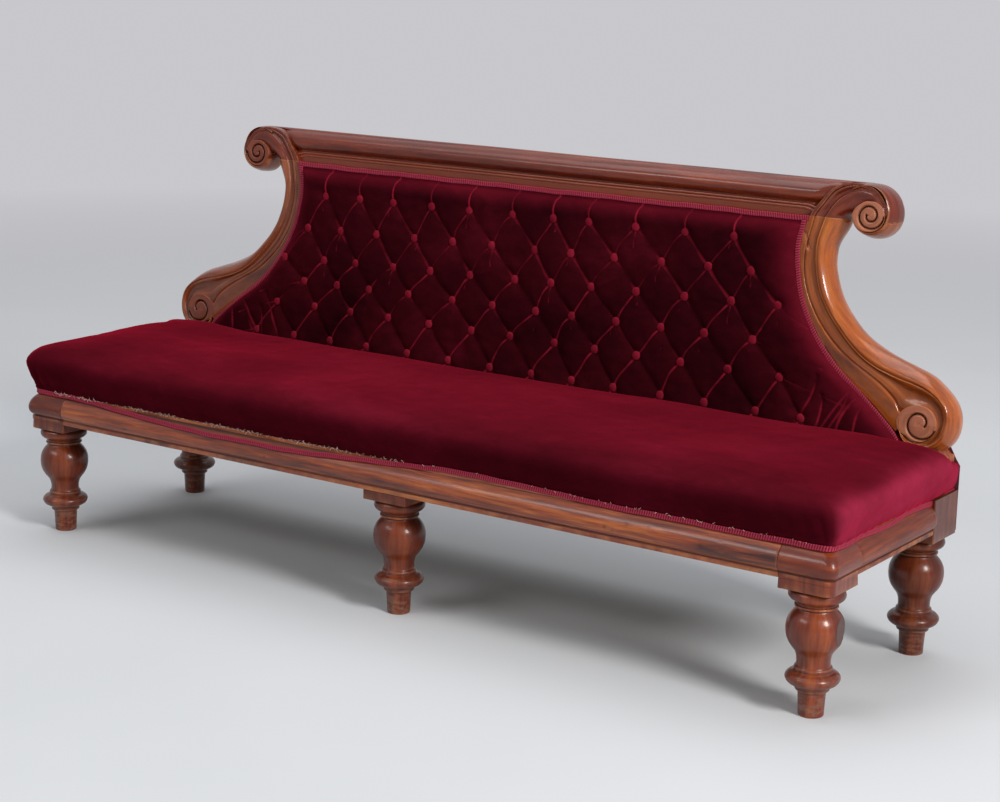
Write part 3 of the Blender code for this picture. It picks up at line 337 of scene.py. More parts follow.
def web_strap(name):
    """Black and white upholsterer's webbing: herringbone rows with two darker lines near each edge."""
    f = Finish(name)
    along, across = f.part(f.run(), 0), f.part(f.run(), 1)
    zigzag = f.maths("PINGPONG", across, 0.006)
    twill = f.maths("SINE", (along + zigzag) * (math.tau / 0.003))
    dusty = f.cloud(f.place(), 8.0, 5, 0.6)
    cloth = f.mixed(f.span(twill, -0.5, 0.5), paint("5f5545"), paint("b3a487"))
    cloth = f.mixed(f.span(dusty, 0.45, 0.75) * 0.7, cloth, paint("8d7c60"))
    line = f.maths("PINGPONG", across, 0.0125)
    cloth = f.mixed(f.span(line, 0.0105, 0.0115) * 0.8, cloth, paint("2e2620"))
    relief = f.bump(twill, 0.5, 0.0006)
    return f.close(Base_Color=cloth, Roughness=f.span(dusty, 0.3, 0.7, 0.80, 0.95), Normal=relief)


def old_metal(name, bright, tarnish, lustre, patches):
    """Drawn wire or turned screws: metal with tarnish in clouds and fine drawing lines."""
    f = Finish(name)
    here = f.place()
    clouds = f.cloud(here, patches, 5, 0.65)
    lines = f.cloud(f.stretched(here, (1, 1, 14)), 160.0, 2, 0.5)
    spots = f.span(clouds, 0.42, 0.66)
    metal = f.mixed(spots, paint(bright), paint(tarnish))
    rough = lustre + spots * 0.35 + lines * 0.1
    return f.close(Base_Color=metal, Roughness=rough, Metallic=1.0 - spots * 0.45,
                   Normal=f.bump(lines + clouds, 0.2, 0.0004))


# Making.

def follow(table, share):
    """Reads a table of stations as one smooth line, at shares from 0 to 1 of its length."""
    table = np.asarray(table, float)
    last = len(table) - 1
    at = np.clip(share, 0, 1) * last
    i = np.minimum(at.astype(int), last - 1)
    f = (at - i)[:, None]
    a, b, c, d = (table[np.clip(i + k, 0, last)] for k in (-1, 0, 1, 2))
    square, cube = 2 * a - 5 * b + 4 * c - d, 3 * b - a - 3 * c + d
    return 0.5 * (2 * b + (c - a) * f + square * f ** 2 + cube * f ** 3)


def stepped(table, share):
    """Reads a table of corners as straight runs, so that its arrises stay crisp."""
    table = np.asarray(table, float)
    at = np.clip(share, 0, 1) * (len(table) - 1)
    return np.column_stack([np.interp(at, np.arange(len(table)), column) for column in table.T])


def read(table, value, beyond=None):
    """The second column of a table where its first column holds the value."""
    return np.interp(value, *np.array(table).T, left=beyond, right=beyond)


def eased(value, low, high):
    """A smooth step from 0 at low to 1 at high."""
    share = np.clip((value - low) / (high - low), 0, 1)
    return share * share * (3 - 2 * share)


def on_back(x, z, depth):
    """A point of the raked back: its place across, its height on the front plane and its depth behind it."""
    return np.column_stack([x, BACK_FACE + depth * math.cos(RAKE) + (z - BACK_BASE) * math.tan(RAKE),
                            z - depth * math.sin(RAKE)])


def drift(points, scale, amount, seed=0.0):
    """Slow unevenness of hand work, the same on every run."""
    return np.array([noise.noise(Vector(p) * scale + Vector((seed, seed, seed))) for p in points]) * amount


def shown(name, data):
    """A new object in the scene, at the origin."""
    thing = bpy.data.objects.new(name, data)
    bpy.context.collection.objects.link(thing)
    return thing


def laid(bm, name):
    """Turns a mesh in the making into a finished one."""
    mesh = bpy.data.meshes.new(name)
    bm.to_mesh(mesh)
    bm.free()
    return mesh


def mark_layer(bm, name):
    """A number at each vertex, which the finishes read by its name."""
    return bm.verts.layers.float.new(name)


def sewn(name, bm, crisp=38):
    """Closes a mesh into a piece: smooth faces, crisp arrises, and a mark of how convex each point is."""
    bm.normal_update()
    for edge in bm.edges:
        edge.smooth = not (len(edge.link_faces) == 2 and edge.calc_face_angle(0) > math.radians(crisp))
    for face in bm.faces:
        face.smooth = True
    convex = mark_layer(bm, "edge")
    for vert in bm.verts:
        total = 0.0
        for edge in vert.link_edges:
            other = edge.other_vert(vert)
            step = other.co - vert.co
            length = max(step.length, 1e-6)
            total += (other.normal - vert.normal).dot(step) / (length * max(length, 0.0012))
        vert[convex] = max(-1.0, min(1.0, total / max(len(vert.link_edges), 1) * 0.006))
    return shown(name, laid(bm, name))


def lay_run(bm, reading):
    """Gives each corner of a face its place along and across the run, as reading(vertex) says."""
    layers = bm.loops.layers.uv
    run = layers.get("run") or layers.new("run")
    for face in bm.faces:
        for loop in face.loops:
            loop[run].uv = reading(loop.vert)


def skinned(place, along, around, closed=False, capped=False, size=(1.0, 1.0)):
    """A grid of faces laid into shape by place(s, t), with s and t from 0 to 1 along and around it."""
    bm = bmesh.new()
    bmesh.ops.create_grid(bm, x_segments=along, y_segments=around, size=0.5)
    shares = np.array([(v.co.x, v.co.y) for v in bm.verts]) + 0.5
    lay_run(bm, lambda vert: ((vert.co.x + 0.5) * size[0], (vert.co.y + 0.5) * size[1]))
    for vert, point in zip(bm.verts, place(shares[:, 0], shares[:, 1])):
        vert.co = point
    if closed:
        bmesh.ops.remove_doubles(bm, verts=bm.verts, dist=2e-6)
    if capped:
        bmesh.ops.holes_fill(bm, edges=[e for e in bm.edges if e.is_boundary], sides=0)
    bmesh.ops.recalc_face_normals(bm, faces=bm.faces)
    return bm


def joined(*meshes):
    """Lays one mesh into another and gives back the first."""
    first, *others = meshes
    for other in others:
        spare = laid(other, "spare")
        first.from_mesh(spare)
        bpy.data.meshes.remove(spare)
    return first


def mirrored(bm):
    """The left-hand twin of a right-hand mesh."""
    twin = bm.copy()
    bmesh.ops.scale(twin, vec=(-1, 1, 1), verts=twin.verts)
    bmesh.ops.reverse_faces(twin, faces=twin.faces)
    return twin


def cut_level(bm, height, keep_upper):
    """Saws a mesh along a level plane, keeps one part and closes the sawn face."""
    cut = bmesh.ops.bisect_plane(bm, geom=bm.verts[:] + bm.edges[:] + bm.faces[:], dist=1e-6,
                                 plane_co=(0, 0, height), plane_no=(0, 0, 1),
                                 clear_inner=keep_upper, clear_outer=not keep_upper)
    edges = [e for e in cut["geom_cut"] if isinstance(e, bmesh.types.BMEdge)]
    bmesh.ops.holes_fill(bm, edges=edges, sides=0)
    return bm


def put(name, bm, material, *nodes, slot, crisp=38):
    """Makes a mesh a piece, with its finish, its ride and the parts that it stands for."""
    piece = sewn(name, bm, crisp)
    piece.data.materials.append(material)
    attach(piece, "root")
    if nodes:
        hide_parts(*nodes)
    return piece


# Rails and legs.

# The moulded face of the rails, from below up: height, and how far it stands out from the face.
FACE_LINE = [
    (0.306, -0.0012), (0.307, 0.0), (0.3158, 0.0), (0.3168, -0.0008), (0.3171, -0.0026), (0.319, -0.0028),
    (0.32, -0.0016), (0.3218, 0.001), (0.3245, 0.0036), (0.3285, 0.0058), (0.333, 0.007), (0.338, 0.0074),
    (0.343, 0.0071), (0.348, 0.0061), (0.353, 0.0044), (0.358, 0.002), (0.363, -0.0012), (0.3675, -0.0048),
    (0.371, -0.0082), (0.374, -0.011), (0.376, -0.0124), (0.3765, -0.0129), (0.385, -0.013)]
# The level of the groove between the flat band and the moulding.
GROOVE_LEVEL = 0.3168
# Knocks along the front rail: place across, height, width and depth.
KNOCKS = [
    (0.629, 0.339, 0.006, 0.0014), (0.65, 0.335, 0.005, 0.001), (0.683, 0.351, 0.005, 0.001),
    (0.738, 0.356, 0.005, 0.001), (0.87, 0.341, 0.006, 0.0014), (0.917, 0.362, 0.005, 0.0012),
    (-0.35, 0.339, 0.005, 0.0008), (-0.82, 0.333, 0.006, 0.0009), (0.21, 0.336, 0.004, 0.0007)]


def knocked(points):
    """Presses the old knocks into the front rail."""
    for x, z, width, depth in KNOCKS:
        near = ((points[:, 0] - x) / width) ** 2 + ((points[:, 2] - z) / (width * 0.7)) ** 2
        points[:, 1] += depth * np.exp(-near) * (points[:, 1] < FRONT_FACE + 0.01)
    return points


def rail_mesh(start, end, across, knocks=False):
    """A moulded rail between two blocks. across(station, out, z) gives a point of it."""
    back = [(RAIL_TOP, -0.0500), (RAIL_FOOT, -0.0500), (RAIL_FOOT, -0.0030)]
    line = np.array(FACE_LINE + back + FACE_LINE[:1])
    count = len(line) - 1
    length = end - start

    def place(s, t):
        z, out = stepped(line, t).T
        station = start + JOINT_GAP + (length - 2 * JOINT_GAP) * s
        # The arrises of the rail's ends are eased.
        ends = np.minimum(s, 1 - s) < 1e-6
        out = np.where(ends & (out > -0.045), out - 0.0009, out)
        points = across(station, out, z)
        points[:, 1 if knocks else 0] += drift(points, 5.0, 0.0005)
        return knocked(points) if knocks else points

    step = 0.0030 if knocks else 0.0055
    bm = skinned(place, max(24, int(length / step)), count, closed=True, capped=True, size=(length, 0.22))
    if knocks:
        dark = mark_layer(bm, "dark")
        for vert in bm.verts:
            px, _, pz = vert.co
            knock = max(math.exp(-((px - x) / (width * 0.8)) ** 2 - ((pz - z) / (width * 0.5)) ** 2)
                        for x, z, width, _ in KNOCKS) * (vert.co.y < FRONT_FACE)
            # Painted shade on the shoulder under the loose gimp, where the gimp stands off and its shadow
            # falls.
            painted_slot_shade = eased(pz, 0.3690, 0.3725) * (pz < REBATE) * eased(-px, 0.02, 0.20)
            vert[dark] = max(0.8 * knock, 0.85 * painted_slot_shade)
    return bm


def block_mesh(x, y, faces, line=FACE_LINE):
    """A square leg block at (x, y). faces says which sides carry the moulding: front, both or none."""
    half, easing, base = 0.0625, 0.0025, BLOCK_FOOT + 0.002
    levels = np.array([(BLOCK_FOOT, -0.0016), (BLOCK_FOOT + 0.0004, -0.0006), (BLOCK_FOOT + 0.0016, 0.0)]
                      + [p for p in line if base < p[0] <= RAIL_TOP] + [(RAIL_TOP, -0.013)])

    def place(s, t):
        z, out = stepped(levels, s).T
        plain = np.minimum(out, 0) * (z < base)
        front = plain if faces == "none" else out
        side = out if faces == "both" else plain
        around = t * 4
        # The ring starts at the inner front corner and goes along the front, down the side and back.
        leg, part = np.minimum(around.astype(int), 3), around - np.minimum(around.astype(int), 3)
        turn = np.clip((part - 0.8) / 0.2, 0, 1) * math.pi / 2
        run = np.clip(part / 0.8, 0, 1)
        lx, hx = -half, half + side
        ly, hy = -half - front, half
        # The corner between two moulded faces is the round one.
        outer = 0.020 if faces == "both" else easing
        rise, fall = np.sin(turn), 1 - np.cos(turn)
        px = np.choose(leg, [
            lx + easing + run * (hx - outer - lx - easing) + outer * rise,
            hx - easing * fall,
            hx - easing - run * (hx - lx - 2 * easing) - easing * rise,
            lx + easing * fall])
        py = np.choose(leg, [
            ly + outer * fall,
            ly + outer + run * (hy - easing - ly - outer) + easing * rise,
            hy - easing * fall,
            hy - easing - run * (hy - ly - 2 * easing) - easing * rise])
        return np.column_stack([x + px, y + py, z])

    bm = skinned(place, len(levels) - 1, 200, closed=True, capped=True, size=(0.1, 0.5))
    # The grain of a corner block's moulding runs level, as that of the rails does.
    run = bm.loops.layers.uv["run"]
    for face in bm.faces:
        if faces == "both" and min(v.co.z for v in face.verts) > GROOVE_LEVEL:
            for loop in face.loops:
                loop[run].uv = loop[run].uv.yx
    return bm


# The turned leg from the block down: height and radius.
LEG_LINE = [
    (0.285, 0.0), (0.2848, 0.03), (0.2842, 0.05), (0.2822, 0.0525), (0.2795, 0.056), (0.2755, 0.0592),
    (0.272, 0.0606), (0.268, 0.0612), (0.264, 0.0604), (0.2605, 0.0582), (0.2575, 0.0548), (0.2552, 0.0505),
    (0.2538, 0.0466), (0.2505, 0.0437), (0.2475, 0.0434), (0.2467, 0.0437), (0.2457, 0.0462),
    (0.2432, 0.0472), (0.2412, 0.0463), (0.2402, 0.0438), (0.2388, 0.0424), (0.2366, 0.0432),
    (0.233, 0.0462), (0.228, 0.0508), (0.2225, 0.0548), (0.216, 0.0583), (0.209, 0.0608), (0.2025, 0.0621),
    (0.1955, 0.0627), (0.1885, 0.0626), (0.181, 0.0618), (0.1735, 0.0601), (0.166, 0.0573), (0.159, 0.0535),
    (0.1525, 0.0488), (0.1465, 0.0441), (0.1405, 0.0403), (0.134, 0.0378), (0.1265, 0.0364), (0.119, 0.036),
    (0.113, 0.0366), (0.1105, 0.038), (0.109, 0.0402), (0.1055, 0.0408), (0.102, 0.0404), (0.1008, 0.042),
    (0.0992, 0.044), (0.0975, 0.0492), (0.0948, 0.0536), (0.091, 0.0572), (0.0865, 0.0589), (0.082, 0.0583),
    (0.077, 0.0558), (0.073, 0.0516), (0.0705, 0.0464), (0.0696, 0.0412), (0.0678, 0.0378), (0.064, 0.0364),
    (0.06, 0.037), (0.0578, 0.0362), (0.0562, 0.033), (0.0535, 0.0309), (0.0515, 0.0303), (0.035, 0.0293),
    (0.015, 0.0283), (0.003, 0.0277), (0.0008, 0.0268), (0.0, 0.0255), (0.0, 0.0)]


def turned_mesh(x, y, flat=None):
    """A leg turned on the lathe, with a worn flat on its ball where flat gives a direction."""
    shares = np.linspace(0, 1, (len(LEG_LINE) - 1) * 2 + 1)
    line = stepped(LEG_LINE, shares)
    fine = follow(LEG_LINE, shares)
    line = np.where(np.abs(fine - line) < 0.0012, fine, line)
    bm = bmesh.new()
    points = [bm.verts.new((max(r, 0), 0, z)) for z, r in line]
    edges = [bm.edges.new(pair) for pair in zip(points, points[1:])]
    bmesh.ops.spin(bm, geom=points + edges, cent=(0, 0, 0), axis=(0, 0, 1), angle=math.tau, steps=56,
                   use_merge=True, use_duplicate=False)
    bmesh.ops.remove_doubles(bm, verts=bm.verts, dist=2e-5)
    bmesh.ops.recalc_face_normals(bm, faces=bm.faces)
    wander = drift([v.co for v in bm.verts], 22.0, 0.0006, x)
    for vert, push in zip(bm.verts, wander):
        reach = math.hypot(vert.co.x, vert.co.y)
        if reach > 0.01:
            vert.co.x *= 1 + push / reach
            vert.co.y *= 1 + push / reach
    if flat:
        dark = mark_layer(bm, "dark")
        ball_foot, ball_top, worn_to = 0.150, 0.236, 0.0545
        for vert in (v for v in bm.verts if ball_foot < v.co.z < ball_top):
            past = vert.co.x * flat[0] + vert.co.y * flat[1] - worn_to
            if past > 0:
                vert.co.x -= flat[0] * past * 0.93
                vert.co.y -= flat[1] * past * 0.93
            # The flat is painted darker, with less polish on it.
            darker_flat = vert.co.x * flat[0] + vert.co.y * flat[1] - 0.0540
            vert[dark] = 0.78 * eased(darker_flat, -0.0020, 0.0008)
    lay_run(bm, lambda vert: (vert.co.z, math.atan2(vert.co.y, vert.co.x) * 0.05))
    bmesh.ops.translate(bm, vec=(x, y, 0), verts=bm.verts)
    return bm


def make_rails_and_legs(rail_wood, shaded_side_rail_wood, leg_wood, shaded_leg_wood, shaded_rear_leg_wood):
    """The moulded rails, and the five turned legs with their blocks."""
    front = rail_mesh(-RAIL_END, RAIL_END,
                      lambda station, out, z: np.column_stack([station, FRONT_FACE - out, z]), knocks=True)
    put("front_rail_moulded", front, rail_wood, "front_seat_rail", slot="mahogany")
    right = rail_mesh(FRONT_BLOCK_REAR, REAR_BLOCK_FRONT,
                      lambda station, out, z: np.column_stack([HALF_LENGTH + out, station, z]))
    left = mirrored(right)
    put("side_rail_moulded_right", right, shaded_side_rail_wood, "side_rail_right", slot="mahogany")
    put("side_rail_moulded_left", left, shaded_side_rail_wood, "side_rail_left", slot="mahogany")

    corner = block_mesh(LEG_X, FRONT_LEG_Y, "both")
    left_corner = mirrored(corner)
    put("front_leg_turned_right", joined(corner, turned_mesh(LEG_X, FRONT_LEG_Y, flat=(0.985, 0.17))),
        leg_wood, "front_leg_right", slot="mahogany")
    put("front_leg_turned_left", joined(left_corner, turned_mesh(-LEG_X, FRONT_LEG_Y)),
        shaded_leg_wood, "front_leg_left", slot="mahogany")
    # The middle leg's block is plain below the rail and cut back behind it.
    notch = [(0.2838, 0.0), (0.3057, 0.0), (0.3058, -0.0504), (0.3845, -0.0504)]
    middle = block_mesh(MIDDLE_LEG_X, FRONT_LEG_Y, "front", line=notch)
    put("front_leg_turned_middle", joined(middle, turned_mesh(MIDDLE_LEG_X, FRONT_LEG_Y)),
        shaded_leg_wood, "front_middle_leg", slot="mahogany")
    for hand, name in ((1, "right"), (-1, "left")):
        post = post_mesh(block_mesh(LEG_X, REAR_LEG_Y, "none"))
        if hand < 0:
            post = mirrored(post)
        put("rear_leg_turned_" + name, joined(post, turned_mesh(hand * LEG_X, REAR_LEG_Y)),
            shaded_rear_leg_wood, "rear_leg_" + name, slot="mahogany")


def post_mesh(block):
    """The rear block's post, which runs up under the scroll, with chipped upper corners."""
    wide, deep, tall = 0.0630, 0.0697, 0.1010
    middle_x, middle_z = 1.1315, 0.4344
    post = bmesh.new()
    bmesh.ops.create_cube(post, size=1.0)
    bmesh.ops.scale(post, vec=(wide, deep, tall), verts=post.verts)
    bmesh.ops.translate(post, vec=(middle_x, REAR_FACE - deep / 2, middle_z), verts=post.verts)
    bmesh.ops.bevel(post, geom=post.edges[:], offset=0.0018, affect="EDGES", segments=2, profile=0.5,
                    material=-1)
    bmesh.ops.subdivide_edges(post, edges=post.edges[:], cuts=7, use_grid_fill=True)
    raw = mark_layer(post, "raw")
    for vert, push in zip(post.verts, drift([v.co for v in post.verts], 70.0, 0.0022)):
        chip = eased(vert.co.x, 1.136, 1.158) * eased(vert.co.z, 0.440, 0.480)
        vert[raw] = 0.8 * chip
        vert.co.z += min(push, 0) * (vert.co.z > 0.45) - 0.019 * chip
        vert.co.x += push * 0.3
    lay_run(post, lambda vert: (vert.co.z, vert.co.x + vert.co.y))
    return joined(block, post)


# Arms and scrolls.

# Each station of the arm gives four points across it, as x and z on the back's front plane: the edge beside
# the gimp, the groove beside the flat fillet, the ridge beside the roll, and the outside of the roll.
ARM_STATIONS = [
    (0.7715, 0.9730, 0.7842, 0.9730, 0.8122, 0.9730, 0.8610, 0.9730),
    (0.7655, 0.9590, 0.7812, 0.9570, 0.8065, 0.9545, 0.8545, 0.9530),
    (0.7585, 0.9366, 0.7763, 0.9334, 0.8000, 0.9292, 0.8378, 0.9239),
    (0.7552, 0.9165, 0.7722, 0.9150, 0.7976, 0.9130, 0.8318, 0.9105),
    (0.7546, 0.8962, 0.7690, 0.8964, 0.7969, 0.8968, 0.8290, 0.8973),
    (0.7582, 0.8575, 0.7688, 0.8593, 0.8003, 0.8646, 0.8286, 0.8694),
    (0.7663, 0.8223, 0.7756, 0.8249, 0.8071, 0.8334, 0.8354, 0.8411),
    (0.7784, 0.7851, 0.7888, 0.7897, 0.8178, 0.8024, 0.8451, 0.8144),
    (0.7956, 0.7473, 0.8080, 0.7557, 0.8341, 0.7734, 0.8577, 0.7894),
    (0.8145, 0.7168, 0.8280, 0.7280, 0.8529, 0.7486, 0.8741, 0.7662),
    (0.8348, 0.6872, 0.8515, 0.7027, 0.8745, 0.7241, 0.8949, 0.7431),
    (0.8575, 0.6588, 0.8776, 0.6798, 0.8976, 0.7005, 0.9178, 0.7216),
    (0.8849, 0.6332, 0.9059, 0.6595, 0.9217, 0.6791, 0.9423, 0.7049),
    (0.9182, 0.6071, 0.9376, 0.6415, 0.9485, 0.6609, 0.9663, 0.6925),
    (0.9527, 0.5834, 0.9695, 0.6244, 0.9785, 0.6466, 0.9925, 0.6810),
    (0.9867, 0.5570, 1.0003, 0.6051, 1.0092, 0.6364, 1.0191, 0.6713),
    (1.0167, 0.5313, 1.0289, 0.5812, 1.0403, 0.6280, 1.0486, 0.6618),
    (1.0380, 0.5130, 1.0430, 0.5590, 1.0600, 0.6242, 1.0660, 0.6560),
    (1.0440, 0.5150, 1.0520, 0.5570, 1.0790, 0.6193, 1.0850, 0.6497),
    (1.0600, 0.5250, 1.0650, 0.5590, 1.0990, 0.6130, 1.1060, 0.6400),
    (1.0750, 0.5300, 1.0830, 0.5620, 1.1180, 0.6050, 1.1270, 0.6245),
    (1.0850, 0.5340, 1.1000, 0.5620, 1.1350, 0.5940, 1.1485, 0.6060),
    (1.0900, 0.5350, 1.1150, 0.5540, 1.1480, 0.5790, 1.1655, 0.5850),
    (1.0920, 0.5350, 1.1230, 0.5430, 1.1545, 0.5590, 1.1755, 0.5600),
    (1.0920, 0.5340, 1.1250, 0.5320, 1.1540, 0.5380, 1.1775, 0.5350),
    (1.0920, 0.5330, 1.1210, 0.5210, 1.1470, 0.5180, 1.1730, 0.5120),
    (1.0930, 0.5330, 1.1140, 0.5130, 1.1350, 0.5020, 1.1610, 0.4920),
    (1.0930, 0.5320, 1.1050, 0.5090, 1.1190, 0.4920, 1.1420, 0.4775),
    (1.0930, 0.5320, 1.0950, 0.5080, 1.0990, 0.4885, 1.1150, 0.4708),
    (1.0930, 0.5320, 1.0860, 0.5100, 1.0790, 0.4900, 1.0870, 0.4718),
    (1.0930, 0.5330, 1.0760, 0.5160, 1.0610, 0.5000, 1.0620, 0.4820),
    (1.0930, 0.5340, 1.0700, 0.5270, 1.0510, 0.5220, 1.0440, 0.5080),
    (1.0930, 0.5350, 1.0680, 0.5400, 1.0500, 0.5430, 1.0400, 0.5420)]
# The same four lines above the joint, where they wind up and over into the top scroll.
CREST_STATIONS = [
    (0.7715, 0.9730, 0.7842, 0.9730, 0.8122, 0.9730, 0.8610, 0.9730),
    (0.7790, 0.9880, 0.7905, 0.9850, 0.8185, 0.9850, 0.8660, 0.9790),
    (0.7955, 1.0085, 0.8029, 1.0026, 0.8265, 0.9975, 0.8780, 0.9850),
    (0.8118, 1.0290, 0.8180, 1.0240, 0.8400, 1.0140, 0.8850, 0.9880),
    (0.8260, 1.0425, 0.8300, 1.0368, 0.8530, 1.0250, 0.8920, 0.9920),
    (0.8508, 1.0542, 0.8530, 1.0484, 0.8680, 1.0345, 0.8980, 0.9960),
    (0.8770, 1.0578, 0.8776, 1.0528, 0.8870, 1.0430, 0.9050, 1.0000),
    (0.9045, 1.0560, 0.9029, 1.0510, 0.9080, 1.0425, 0.9130, 1.0040),
    (0.9325, 1.0450, 0.9290, 1.0400, 0.9280, 1.0360, 0.9240, 1.0060),
    (0.9535, 1.0230, 0.9497, 1.0195, 0.9460, 1.0170, 0.9330, 1.0030),
    (0.9618, 1.0070, 0.9575, 1.0055, 0.9540, 1.0040, 0.9400, 0.9980),
    (0.9628, 0.9900, 0.9590, 0.9900, 0.9565, 0.9900, 0.9450, 0.9880)]
# The carved section: place across, from 0 at the gimp edge to 3 at the outside of the roll, and depth.
ARM_SECTION = [
    (0.0, 0.006), (0.0, 0.0014), (0.05, 0.0003), (0.3, 0.0), (0.6, 0.0), (0.84, 0.0), (0.91, 0.0005),
    (0.95, 0.0016), (0.985, 0.0031), (1.01, 0.0032), (1.05, 0.0018), (1.11, 0.0008), (1.19, 0.0002),
    (1.28, 0.0006), (1.36, 0.0018), (1.44, 0.0034), (1.52, 0.005), (1.61, 0.0062), (1.71, 0.0066),
    (1.8, 0.0058), (1.87, 0.004), (1.93, 0.002), (1.965, 0.0008), (1.99, 0.0004), (2.01, 0.0006),
    (2.03, 0.0009), (2.055, 0.0009), (2.09, 0.0001), (2.14, -0.0008), (2.21, -0.0018), (2.3, -0.0018),
    (2.39, -0.0006), (2.48, 0.0018), (2.56, 0.005), (2.65, 0.0086), (2.73, 0.0132), (2.81, 0.0184),
    (2.88, 0.0236), (2.94, 0.0288), (2.98, 0.0336), (3.0, 0.039), (2.995, 0.046), (2.975, 0.052),
    (2.94, 0.057), (2.88, 0.0615), (2.78, 0.0645), (2.6, 0.065), (1.5, 0.065), (0.2, 0.065), (0.02, 0.0648),
    (0.0, 0.063), (0.0, 0.03), (0.0, 0.006)]


def carved_mesh(stations, along, length, thin=None, shaded=0.0):
    """Sweeps the carved section along its stations. thin(s) flattens the roll where it winds over a disc."""
    # The corners of the section before this one are carved. The rest are its outside and its back.
    front = ARM_SECTION.index((3.00, 0.0390)) + 0.5

    def place(s, t):
        across, depth = stepped(ARM_SECTION, t).T
        lines = follow(stations, s).reshape(-1, 4, 2)
        first = np.minimum(across.astype(int), 2)
        part = (across - first)[:, None]
        rows = np.arange(len(s))
        spot = lines[rows, first] * (1 - part) + lines[rows, first + 1] * part
        # Narrow bands are cut shallower, so that the relief dies away into the volute.
        hollow = np.hypot(*(lines[:, 2] - lines[:, 1]).T) / 0.027
        roll = np.hypot(*(lines[:, 3] - lines[:, 2]).T) / 0.031
        share = np.where(across < 2, np.clip(hollow, 0.12, 1), np.clip(roll, 0.35, 1))
        relief = np.where((depth < 0.012) & (across < 2), depth * share, depth)
        if thin:
            relief = np.where((across >= 2) & (t * (len(ARM_SECTION) - 1) < front), relief * thin(s), relief)
        points = on_back(spot[:, 0], spot[:, 1], relief)
        return points + (drift(points, 30.0, 0.0006) * (relief < 0.04))[:, None] * np.array([0.3, -1, 0.3])

    last, girth = len(ARM_SECTION) - 1, 0.19
    bm = skinned(place, along, last, closed=True, capped=True, size=(length, girth))
    dark, run = mark_layer(bm, "dark"), bm.loops.layers.uv["run"]
    for face in bm.faces:
        for loop in face.loops:
            corner = round(loop[run].uv.y / girth * last)
            across = ARM_SECTION[corner][0]
            # Painted shade: the flat and the hollow are painted darker than the roll.
            sunk = corner < front and (0.08 < across < 0.90 or 1.05 < across < 1.90)
            loop.vert[dark] = shaded * sunk
    return bm


# The radius of a spiral beyond its ends, which no point comes near.
NOWHERE = 9


def volute_mesh(centre, rim, spiral):
    """A flat disc with a spiral cut into it. rim and spiral give a radius for each angle, in degrees."""
    face, buried, groove, width = -0.0012, 0.020, 0.0065, 0.0025
    # Steps from the middle to the edge: share of the radius, and depth down the edge, which is 21 in all.
    steps = [(k / 40, 0) for k in range(38)]
    steps += [(0.955, 0), (0.985, 0.5), (1.0, 2.2), (1.0, 8), (1.0, 21)]

    def place(s, t):
        share, down = stepped(steps, t).T
        angle = s * 360
        edge = read(rim, angle)
        radius = share * edge
        depth = face + down * (buried / 21)
        for turns in (-360, 0, 360, 720):
            line = read(spiral, angle + turns, beyond=NOWHERE)
            gap = radius - line
            depth = depth + (gap > -0.02) * (groove * np.exp(-(gap / width) ** 2)) * (share < 0.97)
            # The face falls a little towards the inside of each turn, as a gouge leaves it.
            depth = depth + 0.0012 * np.exp(-np.clip(-gap, 0, 1) / 0.005) * (gap < 0) * (share < 0.97)
        wide = np.radians(angle)
        return on_back(centre[0] + radius * np.cos(wide), centre[1] + radius * np.sin(wide), depth)

    bm = skinned(place, 96, len(steps) - 1, closed=True, capped=True, size=(0.25, 0.06))
    # Painted shade: the spiral groove is painted dark along its line.
    dark = mark_layer(bm, "dark")
    for vert in bm.verts:
        dx, dz = vert.co.x - centre[0], vert.co.z - centre[1]
        angle, radius = math.degrees(math.atan2(dz, dx)) % 360, math.hypot(dx, dz)
        lines = [float(read(spiral, angle + turn, beyond=NOWHERE)) for turn in (-360, 0, 360)]
        vert[dark] = max(math.exp(-((radius - line) / (width * 0.8)) ** 2) for line in lines)
    return bm


TOP_RIM = [
    (0, 0.0385), (45, 0.0365), (90, 0.0325), (135, 0.035), (180, 0.0432), (225, 0.041), (270, 0.0365),
    (315, 0.0375), (360, 0.0385)]
TOP_SPIRAL = [
    (-210, 0.006), (-180, 0.0074), (-90, 0.0128), (0, 0.0182), (90, 0.0208), (180, 0.0255), (270, 0.0292),
    (330, 0.0335), (360, 0.0368)]
LOW_RIM = [
    (0, 0.0405), (45, 0.0408), (90, 0.0412), (120, 0.044), (150, 0.051), (180, 0.058), (200, 0.056),
    (225, 0.044), (270, 0.0405), (315, 0.0402), (360, 0.0405)]
LOW_SPIRAL = [
    (-35, 0.012), (0, 0.0145), (45, 0.018), (90, 0.0212), (135, 0.0255), (180, 0.0295), (225, 0.0325),
    (270, 0.0345), (315, 0.0378), (345, 0.04)]
# The outside of the top scroll's roll, and where the roll starts beside the disc, by angle.
ROLL_RIM = [
    (-180, 0.043), (-135, 0.0472), (-90, 0.0515), (-45, 0.0556), (0, 0.06), (30, 0.0628), (60, 0.0672),
    (90, 0.0725), (100, 0.0745), (115, 0.079), (130, 0.086)]
ROLL_START = [
    (-180, 0.0424), (-135, 0.04), (-90, 0.037), (-45, 0.038), (0, 0.041), (30, 0.044), (60, 0.056),
    (90, 0.0655), (130, 0.07)]
ROLL_SECTION = [
    (-0.2, 0.012), (0.0, 0.006), (0.03, 0.003), (0.09, 0.0006), (0.18, -0.001), (0.28, -0.001),
    (0.38, 0.0005), (0.5, 0.004), (0.62, 0.0092), (0.73, 0.015), (0.83, 0.021), (0.91, 0.027),
    (0.97, 0.032), (1.0, 0.037), (1.0, 0.052), (0.98, 0.058), (0.93, 0.0625), (0.8, 0.065)]


